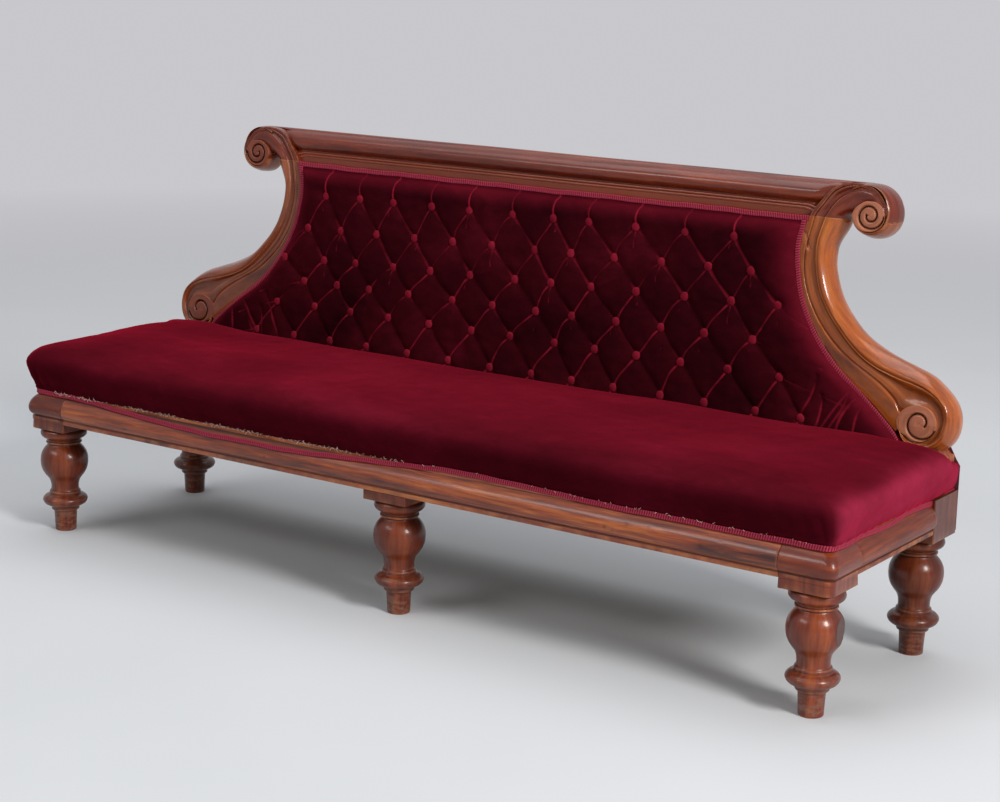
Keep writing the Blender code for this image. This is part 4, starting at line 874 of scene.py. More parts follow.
def scroll_roll_mesh():
    """The drum of the top scroll, whose front arris is rolled over from its disc."""
    def place(s, t):
        section = [(p, d, 1) for p, d in ROLL_SECTION] + [(0, 0.065, 0), (0, 0.012, 0), (-0.2, 0.012, 1)]
        part, depth, outer = stepped(section, t).T
        angle = -180 + s * 310
        inner, edge = read(ROLL_START, angle), read(ROLL_RIM, angle)
        radius = (inner + (edge - inner) * part) * outer + 0.004 * (1 - outer)
        wide = np.radians(angle)
        # The drum's top runs out level with the crest's own top line.
        points = on_back(TOP_VOLUTE[0] + radius * np.cos(wide), TOP_VOLUTE[1] + radius * np.sin(wide), depth)
        points[:, 2] = np.minimum(points[:, 2], 1.0606 - 0.1063 * depth)
        return points

    return skinned(place, 110, len(ROLL_SECTION) + 2, closed=True, capped=True, size=(0.32, 0.15))


def scroll_heart_mesh():
    """The solid heart of the top scroll, behind its disc, which closes the back between drum and winding."""
    section = [(0.0, 0.0240), (0.0415, 0.0240), (0.0425, 0.0250), (0.0425, 0.0635), (0.0415, 0.0645),
               (0.0, 0.0645)]

    def place(s, t):
        radius, depth = stepped(section, t).T
        wide = s * math.tau
        return on_back(TOP_VOLUTE[0] + radius * np.cos(wide), TOP_VOLUTE[1] + radius * np.sin(wide), depth)

    return skinned(place, 48, len(section) - 1, closed=True, size=(0.27, 0.12))


# The crest rail's section, from the fascia up and over: height on the front plane and depth.
CREST_SECTION = [
    (0.9665, 0.02), (0.9668, 0.0118), (0.978, 0.0112), (0.9872, 0.011), (0.988, 0.0104), (0.9894, 0.0096),
    (0.9914, 0.0094), (0.9932, 0.0099), (0.9942, 0.0109), (0.9948, 0.0102), (0.9962, 0.0088),
    (0.9984, 0.0084), (1.0002, 0.0092), (1.0012, 0.0114), (1.0024, 0.0138), (1.0044, 0.0136),
    (1.0056, 0.0104), (1.0085, 0.0062), (1.0125, 0.0028), (1.0175, 0.0004), (1.023, -0.0008),
    (1.029, -0.0006), (1.035, 0.0014), (1.041, 0.0052), (1.046, 0.0102), (1.05, 0.0162), (1.0528, 0.0224),
    (1.054, 0.0256), (1.0532, 0.027), (1.056, 0.029), (1.0588, 0.032), (1.0604, 0.037), (1.0608, 0.045),
    (1.06, 0.053), (1.057, 0.06), (1.052, 0.0645), (1.044, 0.0655), (1.0, 0.0655), (0.9665, 0.0655),
    (0.9665, 0.02)]
CREST_END = [
    (0.96, 0.776), (0.973, 0.782), (0.988, 0.79), (1.008, 0.807), (1.028, 0.822), (1.042, 0.836),
    (1.053, 0.858), (1.057, 0.892), (1.062, 0.908)]


def crest_mesh():
    """The crest rail between the scrolls: fascia, twin beads and a full roll that runs under the fillet."""
    def place(s, t):
        z, depth = stepped(CREST_SECTION, t).T
        reach = read(CREST_END, z)
        side = 2 * s - 1
        x = side * reach
        gone = eased(np.abs(x) - reach, -0.045, 0.0)
        z = z - 0.009 * gone * (z < 1.0035) * (z > 0.968)
        depth = np.where(z > 1.0, depth + 0.010 * gone * (depth < 0.03), depth)
        points = on_back(x, z, depth)
        points[:, 1] += drift(points, 6.0, 0.0008)
        points[:, 2] += drift(points, 3.0, 0.0008, 4.0)
        return points

    bm = skinned(place, 340, len(CREST_SECTION) - 1, closed=True, capped=True, size=(1.7, 0.22))
    # Painted light: the fascia and beads under the roll are painted lighter.
    warm = mark_layer(bm, "warm")
    for vert in bm.verts:
        vert[warm] = 1.0 - eased(vert.co.z, 1.001, 1.006)
    return bm


def chipped(bm):
    """Breaks a splinter out of the arm's inside fillet, with a crack above it, and marks the raw wood."""
    raw = mark_layer(bm, "raw")
    top, length, half_width, depth = 0.938, 0.046, 0.0062, 0.0030
    for vert in bm.verts:
        x, y, z = vert.co
        share = (top - z) / length
        off = x - (0.7630 + 0.0150 * share)
        rough = drift([(x, y, z)], 190.0, 1.0)[0]
        deep = eased(share, -0.05, 0.12) * eased(share, 1.06, 0.86)
        deep = deep * eased(abs(off), half_width + 0.0016 * rough, 0.0030)
        if deep > 0 and y < 0.30:
            vert[raw] = float(deep) * (0.72 + 0.28 * rough)
            vert.co.y += depth * float(deep) * (1.0 + 0.35 * rough)


def make_arms_and_crest(arm_woods, crest_wood, disc_woods, block_wood):
    """The carved arms, the crest rail, and the top scrolls that crest and scroll blocks share."""
    for name in ("right", "left"):
        arm = carved_mesh(ARM_STATIONS, along=300, length=0.95, shaded=0.34)
        for vert in arm.verts:
            inside = math.hypot(vert.co.x - LOW_VOLUTE[0], vert.co.z - LOW_VOLUTE[1]) < 0.0375
            if inside and vert.co.y < on_back(0, LOW_VOLUTE[1], 0.015)[0][1]:
                vert.co.y += 0.010
        if name == "right":
            chipped(arm)
        disc = volute_mesh(LOW_VOLUTE, LOW_RIM, LOW_SPIRAL)
        if name == "left":
            arm, disc = mirrored(arm), mirrored(disc)
        put("scroll_arm_carved_" + name, arm, arm_woods[name], "scroll_arm_" + name, slot="mahogany_arm")
        put("low_volute_disc_" + name, disc, disc_woods[name], slot="mahogany_arm")

    put("crest_rail_moulded", crest_mesh(), crest_wood, "crest_rail", slot="mahogany")
    for name in ("right", "left"):
        winding = carved_mesh(CREST_STATIONS, along=110, length=0.33,
                              thin=lambda s: 1 - 0.52 * eased(s, 0.06, 0.32))
        halves = [winding]
        # The glued joint runs level through the scroll, between the crest and the block under it.
        for gap, keep_upper in ((0, True), (0.0004, False)):
            drum = [cut_level(bm, CREST_JOINT - gap, keep_upper)
                    for bm in (scroll_roll_mesh(), scroll_heart_mesh())]
            halves.append(joined(*drum))
        for gap, keep_upper in ((0, True), (JOINT_GAP, False)):
            disc = volute_mesh(TOP_VOLUTE, TOP_RIM, TOP_SPIRAL)
            halves.append(cut_level(disc, CREST_JOINT - gap, keep_upper))
        if name == "left":
            halves = [mirrored(half) for half in halves]
        winding, upper, lower, disc_up, disc_down = halves
        put("crest_scroll_winding_" + name, winding, crest_wood, slot="mahogany")
        put("crest_scroll_drum_" + name, upper, crest_wood, slot="mahogany")
        put("crest_scroll_disc_" + name, disc_up, disc_woods[name], slot="mahogany")
        put("scroll_block_drum_" + name, lower, block_wood, "scroll_block_" + name, slot="mahogany_arm")
        put("scroll_block_disc_" + name, disc_down, disc_woods[name], slot="mahogany_arm")


# The back.

# The inside edge of the arms, as height and half width, from the seat up.
BACK_EDGE = [
    (0.428, 1.056), (0.46, 1.06), (0.49, 1.0583), (0.5155, 1.0326), (0.548, 0.9966), (0.584, 0.9509),
    (0.616, 0.9052), (0.657, 0.8582), (0.704, 0.8221), (0.756, 0.7899), (0.797, 0.7733), (0.838, 0.7614),
    (0.885, 0.7537), (0.936, 0.7574), (0.968, 0.769)]
# Rows of covered buttons: height at the middle, rise per metre to the right, and the places across.
BUTTON_ROWS = [
    (0.507, 0.014, (-0.658, -0.542, -0.430, -0.305, -0.184, -0.049, 0.074, 0.179, 0.314, 0.453, 0.586)),
    (0.424, 0.024, (-0.713, -0.599, -0.478, -0.352, -0.229, -0.106, 0.027, 0.134, 0.261, 0.395, 0.524,
                    0.639)),
    (0.345, 0.030, (-0.788, -0.649, -0.541, -0.414, -0.293, -0.166, -0.027, 0.082, 0.202, 0.331, 0.467, 0.594,
                    0.719)),
    (0.272, 0.012, (-0.713, -0.599, -0.490, -0.359, -0.216, -0.089, 0.044, 0.153, 0.282, 0.410, 0.530,
                    0.661)),
    (0.200, 0.002, (-0.804, -0.671, -0.546, -0.419, -0.285, -0.148, -0.027, 0.109, 0.228, 0.348, 0.473, 0.603,
                    0.741)),
    (0.114, 0.000, (-0.870, -0.736, -0.610, -0.484, -0.348, -0.214, -0.082, 0.047, 0.168, 0.291, 0.425, 0.548,
                    0.687, 0.806))]
BACK_TOP = 0.572


def button_places():
    """The buttons' places on the back, row by row from the top: place across, and height above the seat."""
    return [[(x, mid + rise * x) for x in places] for mid, rise, places in BUTTON_ROWS]


def all_buttons():
    """The same places in one list."""
    return [spot for row in button_places() for spot in row]


# The puckers of the lower right corner, which the left one mirrors: each runs from one point to another.
PUCKERS = [(0.846, 0.075, 0.930, 0.206), (0.866, 0.075, 0.925, 0.197), (0.896, 0.070, 0.951, 0.192),
           (0.938, 0.060, 0.962, 0.176), (0.843, 0.080, 0.857, 0.176), (0.782, 0.090, 0.840, 0.217)]
# The depth of their valleys, which no other fold has.
PUCKER = 0.45


def pleats():
    """The folds between the buttons, each as two ends on the back and the depth of its valley."""
    rows = button_places()
    folds = []
    for upper, lower in zip(rows, rows[1:]):
        for x, h in upper:
            for side in (-1, 1):
                near = [p for p in lower if 0.015 < side * (p[0] - x) < 0.105]
                if near:
                    folds.append((x, h, *min(near, key=lambda p: abs(p[0] - x)), 1.0))
    for x, h in rows[0]:
        folds.append((x, h, x + 0.024, BACK_TOP + 0.02, 0.65))
    for row in rows[1:]:
        for side, (x, h) in ((-1, row[0]), (1, row[-1])):
            edge = read(BACK_EDGE, BACK_BASE + h + 0.02)
            if edge - abs(x) > 0.03:
                folds.append((x, h, side * (edge + 0.02), h + 0.048, 0.6))
                folds.append((x, h, side * (edge + 0.02), h - 0.045, 0.35))
    for x, h in rows[-1]:
        folds.append((x, h, x - 0.055, h - 0.08, 0.8))
        folds.append((x, h, x + 0.055, h - 0.08, 0.8))
    # Short creases that hang from the buttons, and the fan of puckers in each lower corner.
    for number, (x, h) in enumerate(p for row in rows[:4] for p in row):
        lean = math.sin(number * 2.4) * 0.010
        folds.append((x + lean * 0.3, h - 0.008, x + lean, h - 0.040 - 0.012 * math.sin(number * 1.7), 0.28))
    for side in (-1, 1):
        for x, h, end, high in PUCKERS:
            folds.append((side * x, h, side * end, high, PUCKER))
    return np.array(folds)


def tufting(x, h):
    """How far the buttoned velvet stands in front of the back's plane, how much painted highlight each point
    gets from its fold, and how much lighter its pile is painted, for wear and as painted light."""
    z = BACK_BASE + h
    folds = pleats()
    points = np.column_stack([x, h])
    valley = np.zeros(len(x))
    lit = np.zeros(len(x))
    near = np.full(len(x), 1.0)
    for number, (ax, ah, bx, bh, share) in enumerate(folds):
        start, step = np.array([ax, ah]), np.array([bx - ax, bh - ah])
        at = np.clip(((points - start) @ step) / (step @ step), 0, 1)
        middle, ends = np.sin(at * math.pi), 0.6 + 0.4 * np.abs(at - 0.5) * 2
        falling = step[0] > 0
        broad, drawn = falling and share > 0.7, share == PUCKER
        to_top, to_side = bh > BACK_TOP, abs(bx) > read(BACK_EDGE, BACK_BASE + bh)
        # A fold bows a little, as cloth does between two buttons.
        bow = middle * ((0.0030 if falling else -0.0032) + 0.0034 * math.sin(number * 2.3))
        bow = bow + np.sin(at * math.tau) * 0.0018 * math.sin(number * 1.7)
        if to_side or to_top:
            bow = (-0.0130 if to_side else -0.0075) * middle
        spot = start + at[:, None] * step + np.column_stack([bow, -bow * 0.4])
        if drawn:
            spot = spot + np.outer(middle, (0.005 * math.sin(number * 1.9), 0))
        gap = np.hypot(*(points - spot).T)
        wide = 0.0060 if drawn else 0.0100 if broad else 0.0045
        valley = np.maximum(valley, share * ends * (3.0 if drawn else 1) * np.exp(-gap / wide))
        # Painted highlight along each fold, stronger at the top and the sides.
        bright = (0.56 if broad else 0.84) * min(1.0, share + 0.30) * ends
        bright = 0.74 * middle ** 0.7 if drawn else bright * (0.86 + 0.22 * math.sin(number * 3.1))
        bright = bright * (1.5 if to_top else 1.1 if to_side else 1.0)
        lit = np.maximum(lit, bright * np.exp(-(gap / (wide * 0.72)) ** 2))
        if share > 0.7:
            near = np.minimum(near, gap)
    puff = 1 - np.exp(-(near / 0.018) ** 1.2)
    dimple = np.zeros(len(x))
    for bx, bh in all_buttons():
        dimple = np.maximum(dimple, np.exp(-((x - bx) ** 2 + (h - bh) ** 2) / 0.017 ** 2))
    edge = read(BACK_EDGE, z) - np.abs(x)
    rim = np.clip(np.minimum(edge - 0.0105, BACK_TOP - 0.0125 - h), 0, 0.040)
    shoulder = np.sqrt(np.clip(1 - (1 - rim / 0.040) ** 2, 0, 1))
    stand = 0.0190 * shoulder * (0.74 + 0.26 * puff) - 0.0046 * valley * shoulder - 0.0045 * dimple * shoulder
    # The pile is painted lighter along the gimp, where it is brushed up, and most of all down the right-hand
    # side, as painted light.
    worn_and_lit = np.maximum(0.42 * eased(rim, 0.040, 0.0), 0.52 * eased(edge, 0.110, 0.010) * (x > 0))
    return np.maximum(stand, -0.0006), np.minimum(lit, 1.0), worn_and_lit


def back_mesh():
    """The buttoned velvet, carried over its edges to the back of the pad."""
    low, high, pad_rear = 0.4285, BACK_BASE + BACK_TOP + 0.0045, 0.034
    lit = []

    def place(s, t):
        z = low + (high - low) * np.clip((t - 0.03) / 0.94, 0, 1)
        half = read(BACK_EDGE, z) - 0.0006
        x = (2 * np.clip((s - 0.01) / 0.98, 0, 1) - 1) * half
        stand, fold, worn_and_lit = tufting(x, z - BACK_BASE)
        # The outermost strips are turned back over the pad's edges.
        tucked = (t < 0.03) | (t > 0.97) | (s < 0.01) | (s > 0.99)
        points = on_back(x, z, np.where(tucked, pad_rear, -stand))
        live = np.where(tucked | (stand < 0.002), 0, 1)
        points[:, 1] += drift(points, 40.0, 0.0012) * live + drift(points, 12.0, 0.0024, 3.0) * live
        lit.extend(zip(np.where(tucked, 0, fold), worn_and_lit))
        return points

    bm = skinned(place, 760, 196, size=(2.1, 0.6))
    fold, nap = mark_layer(bm, "fold"), mark_layer(bm, "nap")
    for vert, (share, worn_and_lit) in zip(bm.verts, lit):
        vert[fold], vert[nap] = float(share), float(worn_and_lit)
    return bm


def button_mesh():
    """All the covered buttons of the back, each a low dome with a turned-in rim, sunk in its dimple."""
    together = bmesh.new()
    for number, (x, h) in enumerate(all_buttons()):
        bm = bmesh.new()
        bmesh.ops.create_uvsphere(bm, u_segments=20, v_segments=8, radius=0.0118)
        bmesh.ops.scale(bm, vec=(1, 1, 0.40), verts=bm.verts)
        tilt = Matrix.Rotation(math.radians(84) + math.sin(number * 1.3) * 0.12, 4, "X")
        bmesh.ops.rotate(bm, matrix=tilt, verts=bm.verts)
        stand = float(tufting(np.array([x]), np.array([h]))[0][0])
        spot = on_back(np.array([x]), np.array([BACK_BASE + h]), np.array([-stand - 0.0040]))[0]
        bmesh.ops.translate(bm, vec=spot, verts=bm.verts)
        together = joined(together, bm)
    return together


# The seat.

# The seat's outside, from the middle of its underside round to the middle of its top: inset and height.
SEAT_LINE = [
    (0.2838, 0.3856), (0.06, 0.3856), (0.0342, 0.3857), (0.034, 0.388), (0.0312, 0.396), (0.0255, 0.406),
    (0.018, 0.416), (0.013, 0.427), (0.0085, 0.438), (0.0048, 0.4485), (0.0028, 0.458), (0.0038, 0.467),
    (0.009, 0.4755), (0.0185, 0.483), (0.033, 0.4895), (0.056, 0.494), (0.09, 0.4975), (0.14, 0.501),
    (0.2, 0.504), (0.2838, 0.506)]


def seat_mesh():
    """The seat's stuffed body, with a wing at each end that wraps the outside of the post."""
    front, rear, half = -0.3592, 0.2085, 1.2046

    def place(s, t):
        inset, z = follow(SEAT_LINE, t).T
        inset = np.clip(inset, 0, (rear - front) / 2)
        around = s * 4
        leg = np.minimum(around.astype(int), 3)
        part = around - leg
        # The back edge stands almost straight, so it is inset less than the other three.
        back = np.minimum(inset * 0.35, 0.012) * (inset < 0.2) + inset * (inset >= 0.2)
        lx, hx = -half + inset, half - inset
        ly, hy = front + inset, rear - back
        hy = np.maximum(hy, ly)
        x = np.choose(leg, [lx + (hx - lx) * part, hx, hx - (hx - lx) * part, lx])
        y = np.choose(leg, [ly, ly + (hy - ly) * part, hy, hy - (hy - ly) * part])
        # Rounded corners in plan.
        for cx, cy in ((half, front), (-half, front)):
            inx, iny = np.sign(-cx), 1.0
            px, py = (x - cx) * inx, (y - cy) * iny
            r = 0.018 + 0.032 * eased(z, 0.392, 0.450)
            near = (px < r + inset) & (py < r + inset)
            dx, dy = r + inset - px, r + inset - py
            reach = np.maximum(np.hypot(dx, dy), 1e-6)
            pull = np.where(near & (reach > r), r / reach, 1.0)
            x = np.where(near, cx + inx * (r + inset - dx * pull), x)
            y = np.where(near, cy + iny * (r + inset - dy * pull), y)
        z = z + 0.010 * eased(-x, 0.85, 1.08) * eased(z, 0.47, 0.50)
        return np.column_stack([x, y, z])

    body = skinned(place, 480, 34, closed=True)
    foot, inner, wing_front, wing_length = 0.3892, 1.1645, 0.14, 0.1505
    for side in (-1, 1):
        wing = bmesh.new()
        bmesh.ops.create_cube(wing, size=1.0)
        bmesh.ops.subdivide_edges(wing, edges=wing.edges[:], cuts=7, use_grid_fill=True)
        for vert in wing.verts:
            across, deep, high = vert.co.x + 0.5, vert.co.y + 0.5, vert.co.z + 0.5
            roof = 0.476 - 0.024 * deep
            z = foot + (roof - foot) * high
            belly = math.sin(math.pi * min(max((z - 0.385) / 0.11, 0), 1)) ** 0.6
            outer = 1.1680 + 0.0245 * belly * (1 - 0.55 * deep ** 4)
            vert.co = (side * (inner + (outer - inner) * across), wing_front + wing_length * deep, z)
        bmesh.ops.recalc_face_normals(wing, faces=wing.faces)
        body = joined(body, wing)
    return body


def remeshed(bm, name, voxel):
    """One even skin over everything that a mesh holds."""
    piece = sewn(name, bm)
    skin = piece.modifiers.new("even_skin", "REMESH")
    skin.mode, skin.voxel_size = "VOXEL", voxel
    return baked(piece)


def baked(piece):
    """Applies a piece's modifiers and gives the piece back."""
    held = bpy.context.evaluated_depsgraph_get()
    mesh = bpy.data.meshes.new_from_object(piece.evaluated_get(held))
    piece.modifiers.clear()
    piece.data = mesh
    return piece


def blown(piece, pressure, cap, held):
    """Swells a pad by cloth simulation and holds each point within the cap of where it started. held says
    which points stay where they are."""
    start = np.array([v.co for v in piece.data.vertices])
    grip = piece.vertex_groups.new(name="held")
    grip.add([number for number, still in enumerate(held(start)) if still], 1.0, "REPLACE")
    cloth = piece.modifiers.new("stuffing", "CLOTH")
    cloth.collision_settings.use_collision = False
    settings = cloth.settings
    settings.quality, settings.mass = 4, 0.25
    settings.tension_stiffness = settings.compression_stiffness = 18
    settings.shear_stiffness, settings.bending_stiffness = 8, 0.6
    settings.use_pressure, settings.uniform_pressure_force = True, pressure
    settings.vertex_group_mass = "held"
    settings.effector_weights.gravity = 0
    scene = bpy.context.scene
    first, frames = scene.frame_current, 18
    for number in range(1, frames + 1):
        scene.frame_set(number)
        bpy.context.view_layer.update()
    piece = baked(piece)
    scene.frame_set(first)
    moved = np.array([v.co for v in piece.data.vertices]) - start
    reach = np.maximum(np.linalg.norm(moved, axis=1), 1e-9)
    moved *= (cap * np.tanh(reach / cap) / reach)[:, None]
    for vert, point in zip(piece.data.vertices, start + moved):
        vert.co = point
    piece.vertex_groups.clear()
    return piece


def make_seat(cloth):
    """The velvet seat: swollen over its stuffing, sat in, creased, and drawn down to the gimp."""
    seat = remeshed(seat_mesh(), "seat_velvet", voxel=0.0095)
    seat = blown(seat, pressure=3.0, cap=0.005,
                 held=lambda points: (points[:, 2] < 0.3935) | (points[:, 1] > 0.196))
    bm = bmesh.new()
    bm.from_mesh(seat.data)
    bpy.data.objects.remove(seat)
    free = [v for v in bm.verts if v.co.z > 0.397]
    for _ in range(2):
        bmesh.ops.smooth_vert(bm, verts=free, factor=0.5, use_axis_x=True, use_axis_y=True, use_axis_z=True)
    points = np.array([v.co for v in bm.verts])
    x, y, z = points.T
    # Soft hollows from sitting, little puckers where the velvet is drawn down to the gimp, and corner pleats.
    top = eased(z, 0.475, 0.495)
    slump = drift(points * np.array([1, 1.6, 0]), 3.1, 0.009, 2.0) * top
    edge = eased(z, 0.455, 0.395) * (z < 0.47)
    along_front = np.sin(x * 190 + 3 * np.sin(x * 37)) * (y < -0.30)
    pucker = (along_front + np.sin(y * 170) * (np.abs(x) > 1.15)) * 0.0012
    fine = drift(points, 26.0, 0.0024, 5.0)
    ends = np.sign(x) * (np.abs(x) > 1.13)
    corner = sum(deep * np.exp(-((np.abs(x) - at) / 0.0105) ** 2)
                 for at, deep in ((1.108, 0.6), (1.142, 1.0)))
    corner = corner * (y < -0.30) * eased(z, 0.470, 0.435) * eased(z, 0.386, 0.400)
    for vert, dz, sway, small, side, fold in zip(bm.verts, slump, pucker * edge, fine, ends, corner):
        vert.co.z += dz * 0.6 + small * 0.35
        vert.co.y -= sway * (side == 0) + small * 0.5 - fold * 0.006
        vert.co.x += side * (sway + small * 0.3)
    # Painted light and shade: the cloth is painted lighter where it faces the lamp at the right-hand end, and
    # darker low down where it faces the front.
    bm.normal_update()
    bm.verts.index_update()
    lay_and_light = np.array([0.95 * eased(v.normal.x, 0.20, 0.95) - 0.75 * eased(-v.normal.y, 0.45, 1.0) * eased(
        v.co.z, 0.495, 0.440) for v in bm.verts])
    one, other = np.array([[v.index for v in e.verts] for e in bm.edges]).T
    count = len(lay_and_light)
    links = np.bincount(one, minlength=count) + np.bincount(other, minlength=count)
    for _ in range(9):
        near = np.bincount(one, lay_and_light[other], count) + np.bincount(other, lay_and_light[one], count)
        lay_and_light = 0.4 * lay_and_light + 0.6 * near / links
    nap, lit_crease = mark_layer(bm, "nap"), mark_layer(bm, "fold")
    # Painted highlight on the corner folds, at the right-hand end only.
    for vert, share, fold in zip(bm.verts, lay_and_light, corner):
        vert[nap], vert[lit_crease] = float(share), 0.8 * float(fold) * (vert.co.x > 0)
    piece = put("seat_velvet", bm, cloth, "seat_cover", "seat_stuffing", slot="velvet", crisp=180)


def make_frays(thread):
    """The torn edge of the velvet and its tow, which hangs out above the loose gimp at the front."""
    together = bmesh.new()
    spot, number = -1.085, 0
    while spot < 1.12:
        number += 1
        loose = eased(-spot, -0.10, 0.10)
        length = (0.0075 + 0.0055 * math.sin(number * 12.9)) * (0.60 + 0.40 * loose)
        bm = bmesh.new()
        bmesh.ops.create_cone(bm, segments=4, radius1=0.0011, radius2=0.0003, depth=length, cap_ends=True)
        sides = [e for e in bm.edges if abs(e.verts[0].co.z - e.verts[1].co.z) > 0.001]
        bmesh.ops.subdivide_edges(bm, edges=sides, cuts=3)
        for vert in bm.verts:
            share = vert.co.z / length + 0.5
            vert.co.x += 0.0030 * math.sin(share * 5 + number) * share
            vert.co.y -= 0.0012 * math.sin(share * 4 + number * 0.7) * share
        turn = Matrix.Rotation(math.radians(90 + (18 + 44 * loose) * math.sin(number * 7.3)), 4, "Y")
        bmesh.ops.rotate(bm, matrix=turn, verts=bm.verts)
        low = max(0.3902, read(FRONT_GIMP, spot) + 0.0068) - 0.0030 * loose
        low = low + 0.0016 * math.sin(number * 3.7)
        bmesh.ops.translate(bm, vec=(spot, -0.3288 - 0.0008 * math.sin(number * 5.1), low), verts=bm.verts)
        together = joined(together, bm)
        least = 0.30 if spot < 0.05 else 0.05 if spot < 0.45 else 0.20
        thick = least + 0.70 * loose * (0.55 + 0.45 * math.sin(spot * 23))
        spot += (0.0050 + 0.0035 * math.sin(number * 4.3)) / thick
    put("frayed_edge_of_seat_velvet", together, thread, slot="hair", crisp=180)


# Braid.

def evenly(path, count):
    """The same path with its points at even steps of its length."""
    length = np.concatenate([[0], np.cumsum(np.linalg.norm(np.diff(path[:, :3], axis=0), axis=1))])
    even = np.linspace(0, length[-1], count)
    return np.column_stack([np.interp(even, length, column) for column in path.T]), length[-1]


# How the front gimp hangs, from left to right: place across and height of its middle.
FRONT_GIMP = [
    (-1.145, 0.3836), (-1.08, 0.3834), (-1.0, 0.3824), (-0.947, 0.38), (-0.887, 0.3788), (-0.816, 0.3752),
    (-0.746, 0.3702), (-0.677, 0.368), (-0.61, 0.3655), (-0.54, 0.3645), (-0.32, 0.3645), (-0.26, 0.366),
    (-0.197, 0.3686), (-0.14, 0.372), (-0.085, 0.3746), (0.015, 0.379), (0.113, 0.385), (0.17, 0.3886),
    (0.255, 0.3902), (0.33, 0.3905), (0.394, 0.389), (0.483, 0.386), (0.571, 0.3832), (0.7, 0.383),
    (1.145, 0.383)]


def gimp_mesh(line, out, length, loose=None):
    """A gimp along a line of points. out(spot, s) gives two directions, away from what it is glued to and
    across it, and loose(s) gives how far it stands off."""
    line = np.asarray(line, float)
    section = [(-0.5, 0.0), (-0.5, 0.5), (-0.40, 0.9), (-0.22, 1.0), (0.0, 0.78), (0.22, 1.0), (0.40, 0.9),
               (0.5, 0.5), (0.5, 0.0), (-0.5, 0.0)]

    def place(s, t):
        across, high = stepped(section, t).T
        spot = follow(line, s)
        away, wide = out(spot, s)
        scallop = 1 + 0.050 * np.sin(s * length * math.tau / 0.0066)
        wander = 0.0007 * np.sin(s * length * 21) + 0.0005 * np.sin(s * length * 57 + 1)
        stand = high * 0.0022 + (loose(s) if loose else 0)
        return spot + wide * (across * GIMP_WIDTH * scallop + wander)[:, None] + away * stand[:, None]

    return skinned(place, int(length / 0.0028), len(section) - 1, closed=True, capped=True,
                   size=(length, GIMP_WIDTH * 2))


def make_gimps(braid):
    """The gimps along the top and sides of the back, and along the front and ends of the seat."""
    normal = np.array([0, -math.cos(RAKE), math.sin(RAKE)])
    up = np.array([0, math.sin(RAKE), math.cos(RAKE)])

    def straight(away, wide):
        """For a run that isn't bent: the same two directions all along it."""
        return lambda spot, s: (np.array(away)[None, :], np.array(wide)[None, :])

    top = on_back(np.linspace(-0.770, 0.770, 30), np.full(30, 0.9668), np.full(30, -0.0004))
    put("back_gimp_along_top", gimp_mesh(top, straight(normal, up), length=1.54), braid, "back_gimp_top",
        slot="gimp")
    beside_edge = 0.0050
    for hand, name in ((1, "right"), (-1, "left")):
        z = np.linspace(0.463, 0.964, 60)
        half = read(BACK_EDGE, z)
        smooth = np.convolve(np.pad(half, 3, mode="edge"), np.ones(7) / 7, "valid")
        step = np.gradient(np.column_stack([smooth, z]), axis=0)
        side = np.column_stack([-step[:, 1], step[:, 0]]) / np.hypot(*step.T)[:, None]
        spots = on_back(hand * (smooth + side[:, 0] * beside_edge), z + side[:, 1] * beside_edge,
                        np.full(len(z), -0.0010))
        spots, length = evenly(np.column_stack([spots, side]), 90)

        def out(spot, s, side=spots[:, 3:], hand=hand):
            across, rise = follow(side, s).T
            wide = np.column_stack([hand * across, rise * math.sin(RAKE), rise * math.cos(RAKE)])
            return normal[None, :], wide

        put("back_gimp_down_" + name, gimp_mesh(spots[:, :3], out, length), braid, "back_gimp_" + name,
            slot="gimp")

    # The front gimp turns both corners. Its left half has come away, hangs over the moulding and creeps up.
    turn, bent, corner_x, corner_y = np.radians(np.linspace(0, 90, 9)), 0.0210, 1.1466, -0.3042
    bend = np.column_stack([corner_x + bent * np.cos(turn), corner_y - bent * np.sin(turn)])
    x = np.linspace(1.130, -1.130, 90)
    z = read(FRONT_GIMP, x)
    z = np.convolve(np.pad(z, 2, mode="edge"), np.ones(5) / 5, "valid")
    y = np.interp(z, [0.3645, 0.3700, 0.3755, 0.3810], [-0.3390, -0.3360, -0.3322, -0.3254])
    plan = np.vstack([bend, np.column_stack([x, y]), (bend * [-1, 1])[::-1]])
    height = np.pad(z, len(turn), mode="edge")
    away = np.vstack([np.column_stack([np.cos(turn), -np.sin(turn)]), np.tile([0.0, -1.0], (len(x), 1)),
                      np.column_stack([-np.cos(turn), -np.sin(turn)])[::-1]])
    path, length = evenly(np.column_stack([plan, height, away]), 260)

    def round_corners(spot, s):
        facing = follow(path[:, 3:], s)
        return np.column_stack([facing, np.zeros(len(s))]), np.array([[0, 0, 1]])

    def hang(s):
        spot = np.interp(s, np.linspace(0, 1, len(path)), path[:, 0])
        slack = eased(spot, -0.05, -0.25) * eased(spot, -1.10, -0.95)
        return 0.0022 * slack * (0.6 + 0.4 * np.sin(spot * 34))

    put("seat_gimp_along_front", gimp_mesh(path[:, :3], round_corners, length, loose=hang),
        braid, "seat_gimp_front", slot="gimp")
    for hand, name in ((1, "right"), (-1, "left")):
        y = np.linspace(-0.3035, 0.2890, 24)
        wave = (0.0022 * np.sin(y * 26) - 0.0030) * (hand > 0) * eased(y, -0.31, -0.24)
        spots = np.column_stack([np.full(24, hand * 1.1676), y, 0.3830 + wave])
        put("seat_gimp_along_" + name, gimp_mesh(spots, straight((hand, 0, 0), (0, 0, 1)), length=0.61),
            braid, "seat_gimp_" + name, slot="gimp")


# Cloths and inside timber.

